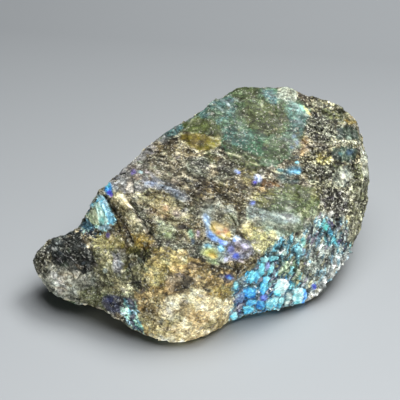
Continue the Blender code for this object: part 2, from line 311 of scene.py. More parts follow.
# Each ground: five colours from dark to light, how strongly each kind of relief shows in it
# (plates, small plates, grains, fibres, fragments), and its finish (roughness, grain in the shader).
GROUNDS = {
    "brown": (
        [(44, 40, 28), (92, 85, 65), (129, 125, 104), (168, 165, 142), (229, 226, 204)],
        (0.42, 0.59, 0.48, 0.8, 0.0), (0.55, 1.2),
    ),
    "grey": (
        [(48, 48, 40), (81, 79, 66), (109, 107, 89), (138, 137, 121), (181, 180, 166)],
        (0.28, 0.35, 0.49, 0.36, 0.0), (0.6, 0.88),
    ),
    "teal": (
        [(39, 48, 31), (57, 74, 47), (67, 89, 64), (80, 107, 82), (118, 143, 113)],
        (0.3, 0.2, 0.3, 0.0, 0.0), (0.5, 0.75),
    ),
    "teal_deep": (
        [(26, 47, 32), (33, 64, 44), (41, 78, 56), (54, 91, 63), (85, 122, 86)],
        (0.3, 0.2, 0.25, 0.0, 0.0), (0.48, 0.75),
    ),
    "teal_brown": (
        [(34, 40, 17), (54, 59, 32), (65, 75, 41), (82, 92, 58), (111, 128, 86)],
        (0.3, 0.25, 0.4, 0.0, 0.0), (0.55, 0.85),
    ),
    "olive": (
        [(41, 42, 20), (63, 66, 33), (82, 86, 46), (106, 110, 68), (148, 151, 110)],
        (0.63, 0.7, 0.72, 0.3, 0.3), (0.55, 0.9),
    ),
    "gold": (
        [(55, 45, 17), (87, 77, 31), (113, 105, 48), (138, 131, 69), (172, 171, 112)],
        (0.32, 0.48, 0.54, 0.18, 0.0), (0.5, 0.8),
    ),
    "cream": (
        [(116, 95, 57), (199, 180, 131), (246, 234, 185), (249, 249, 228), (249, 249, 255)],
        (0.72, 0.68, 0.5, 0.1, 0.0), (0.6, 0.7),
    ),
    "tan": (
        [(66, 56, 32), (111, 99, 63), (140, 128, 88), (172, 161, 116), (216, 207, 163)],
        (0.56, 0.64, 0.63, 0.36, 0.0), (0.55, 1.2),
    ),
    "dark_olive": (
        [(35, 35, 21), (68, 67, 42), (101, 100, 71), (142, 140, 106), (204, 202, 163)],
        (0.7, 0.77, 0.72, 0.3, 0.4), (0.6, 0.9),
    ),
    "black": (
        [(18, 20, 18), (31, 34, 33), (43, 46, 44), (62, 66, 64), (108, 112, 109)],
        (0.3, 0.15, 0.2, 0.6, 0.0), (0.3, 0.8),
    ),
    "pale_green": (
        [(72, 85, 56), (111, 124, 94), (140, 153, 123), (167, 180, 150), (201, 211, 186)],
        (0.28, 0.28, 0.4, 0.56, 0.0), (0.55, 0.72),
    ),
    "yellow_green": (
        [(96, 92, 46), (143, 139, 82), (175, 170, 115), (203, 196, 148), (238, 223, 190)],
        (0.4, 0.48, 0.59, 0.34, 0.0), (0.5, 0.8),
    ),
    "haze": (
        [(95, 103, 102), (126, 140, 137), (146, 162, 162), (167, 179, 187), (198, 204, 217)],
        (0.32, 0.32, 0.16, 0.28, 0.0), (0.55, 0.5),
    ),
    "salt_pepper": (
        [(24, 24, 15), (72, 69, 50), (127, 127, 98), (195, 192, 158), (252, 252, 241)],
        (0.7, 0.7, 0.6, 0.3, 0.5), (0.45, 1.6),
    ),
    "grey_mix": (
        [(54, 55, 47), (112, 113, 93), (165, 167, 146), (219, 220, 200), (255, 255, 247)],
        (0.6, 0.6, 0.6, 0.0, 0.6), (0.45, 1.0),
    ),
    "purple_grey": (
        [(48, 46, 50), (81, 80, 89), (112, 113, 126), (142, 146, 165), (186, 195, 218)],
        (0.4, 0.8, 0.8, 0.3, 0.0), (0.4, 0.7),
    ),
    "white_grey": (
        [(122, 129, 117), (189, 198, 187), (237, 247, 237), (255, 255, 255), (255, 255, 255)],
        (0.5, 0.6, 0.7, 0.0, 0.4), (0.45, 0.7),
    ),
    "dark_teal": (
        [(23, 31, 29), (40, 57, 57), (56, 80, 80), (80, 105, 103), (134, 150, 145)],
        (0.4, 0.5, 0.6, 0.0, 0.4), (0.4, 0.8),
    ),
    "blue_teal": (
        [(46, 68, 79), (79, 123, 142), (112, 165, 188), (152, 208, 229), (229, 255, 255)],
        (0.5, 0.7, 0.8, 0.0, 0.7), (0.35, 0.8),
    ),
    "navy": (
        [(18, 18, 24), (34, 36, 49), (53, 55, 75), (77, 83, 105), (132, 135, 150)],
        (0.5, 0.8, 0.9, 0.0, 0.0), (0.35, 0.8),
    ),
    "rust": (
        [(66, 44, 24), (112, 80, 46), (146, 112, 70), (176, 146, 102), (216, 196, 158)],
        (0.4, 0.6, 0.8, 0.3, 0.0), (0.5, 0.9),
    ),
    "amber": (
        [(66, 50, 17), (110, 88, 34), (141, 121, 54), (166, 151, 83), (200, 198, 139)],
        (0.4, 0.6, 0.7, 0.1, 0.0), (0.4, 0.8),
    ),
    "dark": (
        [(20, 16, 13), (38, 32, 25), (59, 52, 41), (86, 77, 63), (144, 135, 117)],
        (0.5, 0.8, 0.9, 0.3, 0.0), (0.5, 1.2),
    ),
    "speck_dark": (
        [(23, 24, 18), (50, 52, 42), (76, 78, 65), (113, 116, 99), (216, 218, 197)],
        (0.54, 0.54, 0.68, 0.27, 0.0), (0.45, 1.27),
    ),
    "umber": (
        [(27, 22, 11), (58, 50, 31), (91, 81, 52), (129, 119, 81), (204, 194, 143)],
        (0.42, 0.51, 0.56, 0.8, 0.0), (0.5, 1.17),
    ),
    "beige": (
        [(78, 71, 45), (126, 120, 86), (156, 152, 116), (186, 182, 145), (228, 225, 196)],
        (0.5, 0.6, 0.7, 0.4, 0.0), (0.5, 0.8),
    ),
    "lilac_blue": (
        [(64, 68, 77), (86, 94, 107), (106, 115, 130), (127, 136, 152), (164, 172, 184)],
        (0.3, 0.4, 0.6, 0.3, 0.0), (0.45, 0.8),
    ),
    "silver": (
        [(86, 85, 84), (116, 116, 117), (138, 139, 142), (162, 164, 168), (204, 207, 210)],
        (0.3, 0.5, 0.7, 0.5, 0.0), (0.45, 0.81),
    ),
    "gold_cream": (
        [(97, 85, 42), (151, 138, 85), (185, 174, 118), (213, 204, 149), (247, 241, 204)],
        (0.72, 0.7, 0.5, 0.2, 0.0), (0.6, 0.75),
    ),
    "toe_grey": (
        [(56, 59, 52), (105, 111, 99), (145, 149, 138), (190, 192, 181), (252, 252, 252)],
        (0.72, 0.8, 0.5, 0.2, 0.0), (0.6, 0.75),
    ),
    "green_soft": (
        [(47, 58, 32), (64, 78, 47), (79, 93, 59), (97, 109, 73), (132, 144, 102)],
        (0.21, 0.21, 0.32, 0.08, 0.0), (0.5, 0.9),
    ),
    "russet_soft": (
        [(58, 56, 27), (81, 79, 40), (99, 98, 51), (116, 117, 66), (152, 159, 97)],
        (0.3, 0.4, 0.5, 0.2, 0.0), (0.5, 1.0),
    ),
    "lobe_brown": (
        [(64, 50, 27), (124, 106, 65), (172, 150, 102), (214, 193, 136), (247, 247, 193)],
        (0.72, 0.7, 0.6, 0.2, 0.0), (0.6, 0.8),
    ),
    "teal_blue": (
        [(34, 55, 56), (53, 81, 85), (71, 105, 109), (96, 133, 133), (145, 173, 173)],
        (0.3, 0.3, 0.5, 0.0, 0.0), (0.45, 0.9),
    ),
    "olive_deep": (
        [(31, 35, 14), (49, 55, 22), (62, 71, 32), (80, 92, 48), (112, 127, 75)],
        (0.3, 0.4, 0.4, 0.1, 0.0), (0.5, 0.65),
    ),
    "gold_deep": (
        [(38, 30, 8), (71, 64, 16), (98, 92, 28), (118, 113, 41), (154, 153, 72)],
        (0.2, 0.3, 0.2, 0.1, 0.0), (0.5, 0.55),
    ),
    "chalk": (
        [(90, 96, 83), (127, 135, 120), (160, 170, 154), (186, 195, 179), (214, 221, 211)],
        (0.5, 0.6, 0.7, 0.0, 0.3), (0.5, 0.8),
    ),
    "lens": (
        [(66, 66, 50), (108, 108, 90), (142, 142, 124), (170, 168, 148), (206, 202, 184)],
        (0.3, 0.3, 0.5, 0.5, 0.0), (0.5, 0.9),
    ),
    "black_white": (
        [(13, 13, 9), (37, 37, 28), (78, 80, 64), (135, 138, 118), (232, 234, 218)],
        (0.6, 0.8, 0.9, 0.0, 0.6), (0.4, 1.7),
    ),
    "deep_teal": (
        [(10, 20, 19), (25, 40, 35), (43, 61, 54), (66, 86, 76), (117, 139, 126)],
        (0.5, 0.6, 0.6, 0.0, 0.4), (0.45, 0.7),
    ),
    "gold_light": (
        [(98, 87, 41), (170, 159, 88), (218, 211, 135), (255, 255, 184), (255, 255, 255)],
        (0.5, 0.7, 0.7, 0.0, 0.3), (0.5, 1.3),
    ),
    "chalk_brown": (
        [(59, 56, 39), (148, 144, 115), (206, 206, 176), (242, 242, 222), (242, 242, 242)],
        (0.6, 0.8, 0.9, 0.0, 0.5), (0.5, 1.3),
    ),
    "basin": (
        [(56, 50, 33), (97, 90, 63), (121, 118, 89), (149, 146, 119), (188, 189, 165)],
        (0.56, 0.68, 0.59, 0.34, 0.0), (0.55, 1.2),
    ),
}

# Grounds that break into crumbs; the others break into flakes.
CRUMBLY = (
    "salt_pepper", "grey_mix", "white_grey", "cream", "tan", "gold", "speck_dark", "dark_olive", "gold_cream", "toe_grey",
    "lobe_brown", "olive", "olive_deep", "gold_deep", "chalk", "black_white", "deep_teal",
    "gold_light", "chalk_brown", "amber", "dark_teal")

# Where each ground lies, painted in this order: name, how soft its edge is (px), strength, outline.
ZONES = [
    ("brown", 3, 1.0, [(80, 150), (170, 80), (320, 80), (380, 150), (370, 310), (150, 350), (30, 290), (30, 220)]),
    # the teal plate and what lies in it
    ("teal", 1.2, 1.0, [
        (157, 139), (168, 126), (183, 116), (203, 106), (221, 93), (232, 84), (248, 82), (262, 84), (277, 86), (279, 96),
        (284, 101), (297, 97), (304, 102), (299, 107), (311, 112), (309, 125), (304, 138), (299, 150), (291, 158),
        (280, 160), (272, 168), (262, 168), (248, 160), (236, 155), (222, 150), (214, 149), (222, 142), (212, 137),
        (200, 133), (185, 132), (180, 135), (168, 138)]),
    ("teal_brown", 3, 0.95, [(244, 102), (262, 99), (282, 103), (290, 116), (286, 131), (268, 136), (252, 129), (241, 116)]),
    ("teal_brown", 2.5, 0.85, [(232, 90), (246, 85), (257, 89), (258, 98), (244, 102), (232, 98)]),
    ("teal_blue", 2, 0.7, [(192, 114), (206, 104), (220, 96), (232, 98), (239, 108), (233, 119), (218, 124), (202, 118)]),
    ("teal_brown", 2, 0.5, [(206, 110), (220, 108), (228, 114), (216, 120), (206, 118)]),
    ("teal_deep", 3, 0.9, [(222, 131), (240, 128), (262, 133), (272, 140), (268, 154), (250, 154), (232, 150), (222, 143)]),
    ("teal_blue", 3, 0.5, [(222, 128), (234, 126), (247, 132), (250, 142), (240, 148), (228, 144), (221, 136)]),
    ("teal_brown", 3, 0.6, [(264, 140), (278, 138), (288, 144), (287, 156), (274, 161), (264, 156)]),
    ("teal_blue", 2.5, 0.2, [(284, 126), (296, 124), (300, 134), (297, 146), (288, 146), (283, 136)]),
    ("teal_blue", 1.5, 0.85, [(158, 138), (172, 124), (194, 114), (190, 124), (181, 132), (170, 137)]),
    ("teal_blue", 2, 0.9, [(260, 87), (273, 89), (280, 98), (276, 105), (265, 98)]),
    ("teal_blue", 2.5, 0.55, [(288, 104), (303, 104), (310, 113), (308, 126), (301, 137), (292, 130), (288, 116)]),
    ("lilac_blue", 3, 0.15, [(288, 130), (302, 132), (300, 150), (290, 156), (284, 146)]),
    ("olive_deep", 1.2, 0.95, [(183, 122), (197, 117), (210, 120), (221, 128), (224, 136), (208, 138), (192, 133), (182, 132)]),
    ("gold_deep", 1.0, 1.0, [(180, 133), (195, 132), (210, 136), (223, 138), (219, 145), (212, 150), (204, 152), (195, 149), (185, 144), (179, 139)]),
    ("teal_brown", 1.5, 0.8, [(224, 142), (236, 146), (248, 152), (262, 160), (256, 164), (240, 156), (228, 150)]),
    # the banded ground under the plate
    ("tan", 3, 0.5, [(150, 142), (180, 146), (205, 152), (200, 158), (180, 156), (150, 152)]),
    ("grey", 1.5, 0.95, [(187, 160), (195, 155), (207, 157), (212, 165), (208, 174), (196, 176), (188, 170)]),
    ("olive", 1.5, 0.8, [(205, 150), (214, 153), (219, 161), (213, 166), (206, 158)]),
    ("speck_dark", 1.5, 0.75, [(219, 158), (234, 161), (240, 170), (236, 178), (222, 177), (216, 170)]),
    ("grey", 3, 0.6, [(142, 160), (165, 160), (185, 168), (186, 182), (160, 186), (140, 182)]),
    ("gold", 2, 0.5, [(238, 168), (252, 166), (256, 178), (248, 186), (238, 180)]),
    ("olive_deep", 1.5, 0.8, [(226, 151), (240, 156), (252, 162), (262, 168), (254, 172), (240, 166), (228, 158)]),
    ("rust", 2, 0.8, [(262, 180), (275, 181), (286, 186), (284, 193), (270, 195), (258, 192)]),
    ("dark", 2, 0.55, [(216, 188), (236, 186), (250, 186), (250, 200), (232, 202), (218, 198)]),
    ("olive", 2, 0.5, [(196, 190), (216, 188), (222, 198), (208, 203), (196, 200)]),
    ("silver", 2, 0.85, [(163, 133), (150, 140), (130, 154), (112, 172), (101, 186), (104, 192), (112, 187), (126, 172), (142, 160), (156, 148), (168, 139)]),
    ("speck_dark", 1.2, 0.9, [(184, 168), (188, 160), (196, 156), (205, 158), (210, 164), (210, 172), (204, 177), (194, 177), (187, 174)]),
    ("umber", 2.5, 0.8, [(192, 182), (210, 180), (232, 184), (246, 190), (248, 204), (240, 214), (224, 206), (206, 200), (194, 194)]),
    # the pale green ground at the right of the middle
    ("pale_green", 2, 0.95, [(250, 205), (262, 196), (280, 188), (298, 182), (312, 190), (322, 198), (322, 222), (305, 234), (275, 236), (246, 228)]),
    ("green_soft", 4, 0.9, [(268, 190), (284, 184), (300, 184), (314, 192), (320, 202), (310, 214), (290, 216), (272, 210)]),
    ("olive_deep", 3, 0.85, [(284, 184), (300, 183), (318, 190), (320, 199), (302, 200), (288, 196)]),
    ("russet_soft", 4, 0.85, [(254, 194), (266, 188), (276, 192), (274, 204), (262, 212), (252, 206)]),
    ("lilac_blue", 3, 0.5, [(246, 206), (258, 206), (270, 212), (264, 222), (250, 220)]),
    ("haze", 4, 0.4, [(254, 221), (272, 224), (290, 226), (306, 228), (302, 234), (286, 233), (268, 231), (254, 228)]),
    ("haze", 5, 0.8, [(262, 212), (284, 212), (300, 216), (300, 224), (280, 224), (262, 220)]),
    ("yellow_green", 2, 0.8, [(244, 224), (250, 220), (254, 224), (252, 234), (243, 235), (241, 229)]),
    ("yellow_green", 2.5, 0.85, [(248, 226), (262, 226), (276, 229), (284, 236), (279, 246), (270, 254), (258, 255), (250, 248), (246, 236)]),
    ("dark_teal", 1.5, 0.8, [(276, 169), (283, 169), (286, 177), (300, 180), (298, 183), (282, 182), (276, 178)]),
    # the right-hand side
    ("salt_pepper", 2, 1.0, [
        (304, 102), (312, 98), (337, 100), (356, 110), (366, 128), (370, 158), (376, 182), (370, 208), (350, 218),
        (330, 217), (319, 207), (318, 195), (308, 184), (303, 170), (300, 152), (305, 138), (310, 125), (312, 113)]),
    ("chalk", 1.2, 0.95, [(276, 98), (279, 89), (287, 86), (294, 90), (299, 96), (295, 101), (286, 101)]),
    ("black_white", 1.2, 1.0, [(305, 122), (311, 117), (324, 116), (333, 121), (334, 133), (329, 141), (316, 140), (306, 136)]),
    ("beige", 1.2, 0.2, [(306, 100), (322, 101), (338, 105), (337, 109), (322, 108), (308, 106)]),
    ("olive_deep", 1.2, 0.85, [(322, 110), (336, 110), (349, 113), (352, 121), (338, 122), (326, 117)]),
    ("amber", 1.0, 0.95, [(344, 117), (352, 117), (357, 121), (354, 125), (345, 123)]),
    ("dark_olive", 1.5, 0.85, [(340, 108), (350, 108), (360, 118), (360, 124), (350, 120), (340, 112)]),
    ("chalk", 1.0, 0.5, [(346, 112), (352, 112), (357, 118), (352, 117)]),
    ("deep_teal", 1.0, 0.95, [(335, 127), (347, 126), (357, 128), (359, 139), (348, 140), (336, 139)]),
    ("rust", 2, 0.5, [(299, 138), (308, 138), (310, 150), (300, 157)]),
    ("umber", 1.5, 0.6, [(306, 141), (322, 141), (334, 147), (330, 152), (312, 152)]),
    ("chalk_brown", 1.0, 0.25, [(320, 140), (345, 140), (358, 141), (359, 147), (338, 146), (321, 145)]),
    ("deep_teal", 1.0, 1.0, [(333, 148), (346, 146), (357, 148), (358, 158), (350, 162), (338, 161), (332, 156)]),
    ("gold_light", 1.0, 0.95, [(316, 153), (326, 152), (332, 157), (330, 164), (320, 164), (315, 160)]),
    ("black_white", 1.5, 0.8, [(304, 160), (314, 163), (328, 166), (334, 172), (330, 182), (316, 182), (305, 174)]),
    ("olive_deep", 1.0, 0.8, [(332, 163), (341, 163), (342, 169), (333, 170)]),
    ("chalk", 1.5, 0.9, [(336, 169), (346, 164), (354, 168), (355, 182), (348, 188), (336, 186), (331, 178)]),
    ("chalk", 1.2, 0.95, [(338, 172), (347, 168), (352, 174), (348, 184), (338, 182)]),
    ("olive_deep", 1.2, 0.7, [(356, 163), (366, 163), (369, 178), (357, 178)]),
    ("olive_deep", 1.0, 0.7, [(351, 181), (368, 181), (368, 198), (360, 203), (351, 197)]),
    ("black_white", 1.2, 0.85, [(325, 193), (342, 191), (349, 198), (348, 214), (336, 216), (326, 208)]),
    ("olive", 1.2, 0.6, [(348, 199), (360, 203), (367, 206), (364, 220), (350, 218)]),
    ("white_grey", 2, 0.4, [(337, 170), (346, 166), (354, 170), (355, 183), (346, 187), (336, 184)]),
    ("olive", 1.5, 0.5, [(346, 216), (364, 218), (356, 242), (346, 240)]),
    ("russet_soft", 1.5, 0.8, [(312, 190), (322, 189), (325, 198), (314, 202)]),
    ("white_grey", 1.0, 0.7, [(360, 148), (367, 148), (373, 178), (365, 180), (361, 166)]),
    ("grey_mix", 2, 1.0, [(303, 226), (320, 213), (345, 217), (351, 232), (352, 250), (337, 276), (312, 300), (303, 286), (299, 262), (302, 245)]),
    ("blue_teal", 1.5, 0.9, [(322, 219), (332, 224), (341, 234), (338, 246), (328, 243), (321, 232)]),
    ("blue_teal", 1.5, 0.7, [(337, 247), (350, 246), (352, 256), (340, 260)]),
    ("navy", 1.5, 0.6, [(317, 239), (327, 243), (323, 253), (315, 251)]),
    ("dark_olive", 2, 0.75, [(303, 250), (316, 250), (320, 264), (311, 270), (302, 262)]),
    ("white_grey", 1.5, 0.85, [(336, 256), (352, 252), (340, 280), (320, 302), (306, 306), (303, 297), (314, 289), (324, 272)]),
    ("purple_grey", 1.5, 0.8, [(305, 288), (312, 290), (316, 296), (308, 302), (304, 298)]),
    # the blue face
    ("blue_teal", 1.2, 1.0, [
        (229, 322), (228, 312), (235, 300), (234, 287), (240, 279), (250, 268), (258, 262), (262, 256), (275, 250),
        (282, 238), (292, 240), (303, 240), (302, 255), (300, 268), (305, 282), (308, 302), (300, 310), (280, 315),
        (256, 318), (243, 320)]),
    ("chalk", 1.5, 0.6, [(285, 262), (300, 262), (301, 276), (288, 278)]),
    ("white_grey", 1.0, 0.7, [(256, 310), (275, 307), (290, 306), (305, 301), (300, 312), (280, 316), (256, 319)]),
    # between the basin and the blue face
    ("purple_grey", 1.5, 0.9, [(226, 243), (240, 238), (252, 241), (254, 256), (246, 262), (232, 262), (224, 254)]),
    ("brown", 1.5, 0.8, [(198, 229), (206, 229), (214, 240), (226, 246), (224, 252), (205, 246), (198, 240)]),
    ("umber", 1.5, 0.75, [(224, 263), (244, 260), (262, 252), (262, 257), (250, 268), (240, 278), (232, 283), (219, 280), (220, 270)]),
    ("tan", 1.2, 0.8, [(248, 265), (256, 262), (260, 266), (252, 272), (246, 272)]),
    ("white_grey", 1.5, 0.5, [(238, 279), (246, 274), (250, 280), (246, 288), (238, 288)]),
    ("dark", 1, 0.3, [(237, 204), (241, 202), (241, 213), (239, 228), (236, 228), (238, 214)]),
    # the basin
    ("basin", 2, 0.9, [(136, 196), (150, 191), (165, 193), (185, 201), (200, 211), (205, 225), (203, 245), (198, 256), (185, 258), (165, 252), (155, 240), (148, 225), (140, 210)]),
    ("gold", 2, 0.6, [(144, 194), (160, 192), (172, 198), (168, 205), (152, 202)]),
    ("rust", 2, 0.5, [(150, 204), (170, 206), (178, 214), (165, 218), (152, 212)]),
    ("beige", 1.5, 0.85, [(134, 190), (146, 188), (160, 191), (172, 198), (178, 208), (174, 216), (162, 214), (148, 206), (138, 198)]),
    ("lilac_blue", 3, 0.8, [(140, 176), (150, 175), (166, 181), (184, 192), (191, 200), (186, 203), (172, 195), (156, 188), (142, 184)]),
    ("speck_dark", 2, 0.6, [(186, 203), (202, 206), (202, 228), (192, 224), (184, 212)]),
    ("speck_dark", 2, 0.85, [(156, 232), (166, 230), (176, 236), (186, 238), (200, 236), (203, 248), (200, 258), (190, 258), (174, 252), (162, 246)]),
    ("speck_dark", 1.5, 0.9, [(128, 200), (134, 202), (142, 212), (150, 226), (158, 240), (166, 250), (160, 252), (150, 244), (140, 232), (132, 216)]),
    ("pale_green", 2, 0.6, [(155, 220), (170, 222), (178, 232), (170, 240), (158, 236)]),
    ("lens", 1.0, 1.0, [(200, 206), (208, 201), (221, 202), (234, 208), (238, 218), (235, 232), (226, 234), (210, 234), (203, 222)]),
    ("haze", 3, 0.45, [(201, 207), (212, 204), (216, 212), (212, 222), (204, 218)]),
    ("russet_soft", 2, 0.4, [(220, 216), (234, 214), (236, 226), (226, 226)]),
    # the left slope
    ("silver", 2.5, 0.7, [(118, 180), (130, 166), (145, 166), (157, 178), (152, 189), (130, 193), (120, 190)]),
    ("umber", 1.2, 0.9, [(103, 196), (109, 198), (117, 208), (126, 222), (133, 236), (128, 240), (118, 236), (110, 222), (104, 208)]),
    ("beige", 2.0, 0.75, [(110, 192), (120, 190), (126, 196), (130, 206), (138, 218), (145, 232), (143, 240), (134, 234), (126, 222), (118, 210), (111, 200)]),
    ("cream", 2, 0.4, [(114, 192), (124, 194), (130, 203), (124, 207), (116, 200)]),
    ("gold", 2, 0.8, [(96, 246), (112, 244), (128, 250), (140, 246), (152, 252), (150, 264), (140, 272), (124, 268), (104, 266), (96, 258)]),
    ("gold", 1.5, 0.8, [(96, 232), (115, 236), (128, 245), (126, 262), (110, 262), (98, 254), (92, 244)]),
    ("gold", 2, 0.7, [(98, 236), (112, 238), (118, 248), (108, 252), (98, 246)]),
    ("amber", 1.5, 0.85, [(132, 234), (150, 234), (157, 244), (148, 249), (134, 246)]),
    ("purple_grey", 1.5, 0.6, [(114, 248), (126, 249), (128, 260), (118, 262)]),
    ("olive", 1.5, 0.75, [(130, 250), (148, 250), (160, 259), (152, 266), (136, 272), (129, 262)]),
    ("gold", 1.5, 0.85, [(152, 246), (162, 248), (176, 254), (192, 258), (196, 264), (184, 268), (168, 264), (156, 258)]),
    # the toe
    ("toe_grey", 2, 0.95, [(30, 262), (40, 268), (50, 263), (70, 268), (92, 268), (106, 270), (106, 302), (90, 312), (64, 304), (40, 290)]),
    ("white_grey", 2, 0.6, [(48, 272), (58, 274), (64, 284), (60, 290), (50, 286)]),
    ("white_grey", 2, 0.5, [(34, 270), (40, 274), (46, 288), (40, 288)]),
    ("white_grey", 2, 0.4, [(66, 282), (80, 286), (76, 296), (64, 294)]),
    ("salt_pepper", 1.5, 0.9, [(32, 262), (36, 246), (46, 244), (50, 250), (49, 262), (45, 270), (36, 272)]),
    ("dark_olive", 2, 0.9, [(94, 263), (130, 266), (142, 278), (144, 295), (136, 300), (118, 298), (102, 300), (94, 286)]),
    ("olive", 2, 0.8, [(76, 292), (92, 288), (104, 296), (104, 312), (90, 310), (76, 303)]),
    ("dark_olive", 1.5, 0.9, [(87, 249), (100, 248), (117, 250), (118, 262), (104, 268), (88, 266)]),
    ("beige", 1.5, 0.5, [(94, 234), (110, 233), (124, 240), (118, 249), (100, 248), (94, 244)]),
    ("beige", 1.2, 0.8, [(86, 236), (93, 236), (95, 249), (88, 249)]),
    ("purple_grey", 1.5, 0.7, [(112, 252), (120, 254), (124, 264), (120, 276), (114, 270), (112, 262)]),
    ("speck_dark", 1.5, 0.5, [(128, 254), (142, 252), (157, 256), (154, 266), (140, 272), (128, 268)]),
    ("black", 1.2, 1.0, [(48, 240), (58, 232), (72, 228), (82, 232), (88, 244), (95, 256), (93, 268), (78, 272), (64, 268), (52, 262), (47, 250)]),
    ("navy", 1.5, 0.85, [(101, 298), (112, 293), (122, 297), (136, 300), (140, 309), (126, 314), (106, 312)]),
    # the front lobe
    ("lobe_brown", 2, 1.0, [(142, 273), (152, 262), (165, 251), (180, 251), (195, 257), (206, 262), (216, 271), (230, 272), (234, 284), (216, 289), (200, 286), (185, 288), (165, 297), (150, 293), (144, 283)]),
    ("gold_cream", 2, 0.95, [(142, 278), (146, 266), (156, 254), (160, 246), (174, 250), (188, 258), (196, 266), (180, 270), (172, 276), (164, 286), (150, 288), (143, 284)]),
    ("lobe_brown", 2.5, 0.95, [(164, 274), (180, 266), (200, 264), (214, 270), (222, 280), (205, 287), (185, 288), (168, 292)]),
    ("purple_grey", 3, 0.35, [(164, 276), (182, 272), (200, 280), (188, 290), (170, 292)]),
    ("lobe_brown", 2, 0.9, [(134, 292), (146, 286), (160, 290), (166, 298), (160, 312), (144, 316), (134, 306)]),
    ("cream", 2.5, 1.0, [(163, 302), (176, 292), (198, 287), (214, 297), (230, 300), (238, 304), (232, 320), (216, 336), (196, 346), (168, 344), (150, 338), (140, 330), (146, 320), (158, 312)]),
    ("gold_cream", 2.5, 0.85, [(139, 316), (156, 314), (172, 322), (170, 334), (152, 336), (140, 328)]),
    ("gold", 1.5, 0.45, [(184, 298), (196, 296), (204, 303), (198, 310), (188, 308)]),
    ("olive", 1.2, 0.4, [(166, 316), (178, 312), (186, 318), (178, 326), (168, 324)]),
    ("gold", 1.2, 0.45, [(206, 322), (220, 316), (226, 322), (214, 332), (206, 330)]),
    ("tan", 2, 0.55, [(142, 300), (158, 297), (168, 306), (164, 322), (150, 334), (140, 324)]),
    ("cream", 2, 0.8, [(190, 294), (206, 292), (222, 302), (236, 306), (232, 316), (214, 318), (196, 308)]),
    ("lobe_brown", 1.5, 0.6, [(172, 306), (186, 302), (192, 308), (186, 316), (176, 316)]),
    ("amber", 1.5, 0.75, [(206, 289), (218, 286), (230, 284), (235, 294), (224, 299), (208, 297)]),
    ("navy", 1.2, 0.7, [(220, 275), (232, 273), (235, 280), (224, 283)]),
    ("dark", 1.2, 0.5, [(178, 300), (186, 298), (190, 306), (182, 310)]),
]

# Which way the cleavage steps run, where that isn't the usual: degrees clockwise from the picture's right, outline.
DIRECTIONS = [
    (58, [(100, 186), (122, 184), (140, 202), (156, 232), (160, 252), (142, 256), (124, 244), (104, 222), (96, 206)]),
    (36, [(44, 232), (84, 228), (96, 250), (94, 272), (108, 300), (80, 306), (40, 286), (34, 256)]),
    (-78, [(296, 215), (322, 210), (352, 214), (356, 250), (340, 282), (310, 306), (296, 290), (296, 250)]),
    (-84, [(344, 182), (372, 180), (372, 216), (356, 246), (344, 240)]),
    (8, [(304, 100), (340, 102), (372, 130), (374, 170), (330, 176), (304, 160)]),
    (-62, [(228, 262), (262, 254), (284, 238), (300, 240), (300, 300), (232, 322), (226, 300)]),
    (10, [(140, 262), (200, 250), (236, 290), (236, 320), (190, 345), (140, 330)]),
    (24, [(240, 186), (300, 184), (322, 200), (320, 232), (246, 236)]),
]

# What the sides that the picture doesn't show are made of, and how much of each.
HIDDEN = [
    ("brown", 0.22), ("grey", 0.16), ("tan", 0.12), ("pale_green", 0.12), ("dark_olive", 0.08), ("grey_mix", 0.1),
    ("salt_pepper", 0.06), ("teal", 0.05), ("haze", 0.04), ("cream", 0.03), ("blue_teal", 0.02),
]

# Colours of the odd grains that turn up in every ground.
ODD = [
    ((122, 116, 128), 0.2), ((112, 126, 102), 0.2), ((140, 118, 84), 0.12), ((108, 124, 136), 0.12),
    ((236, 230, 206), 0.18), ((40, 36, 30), 0.18),
]

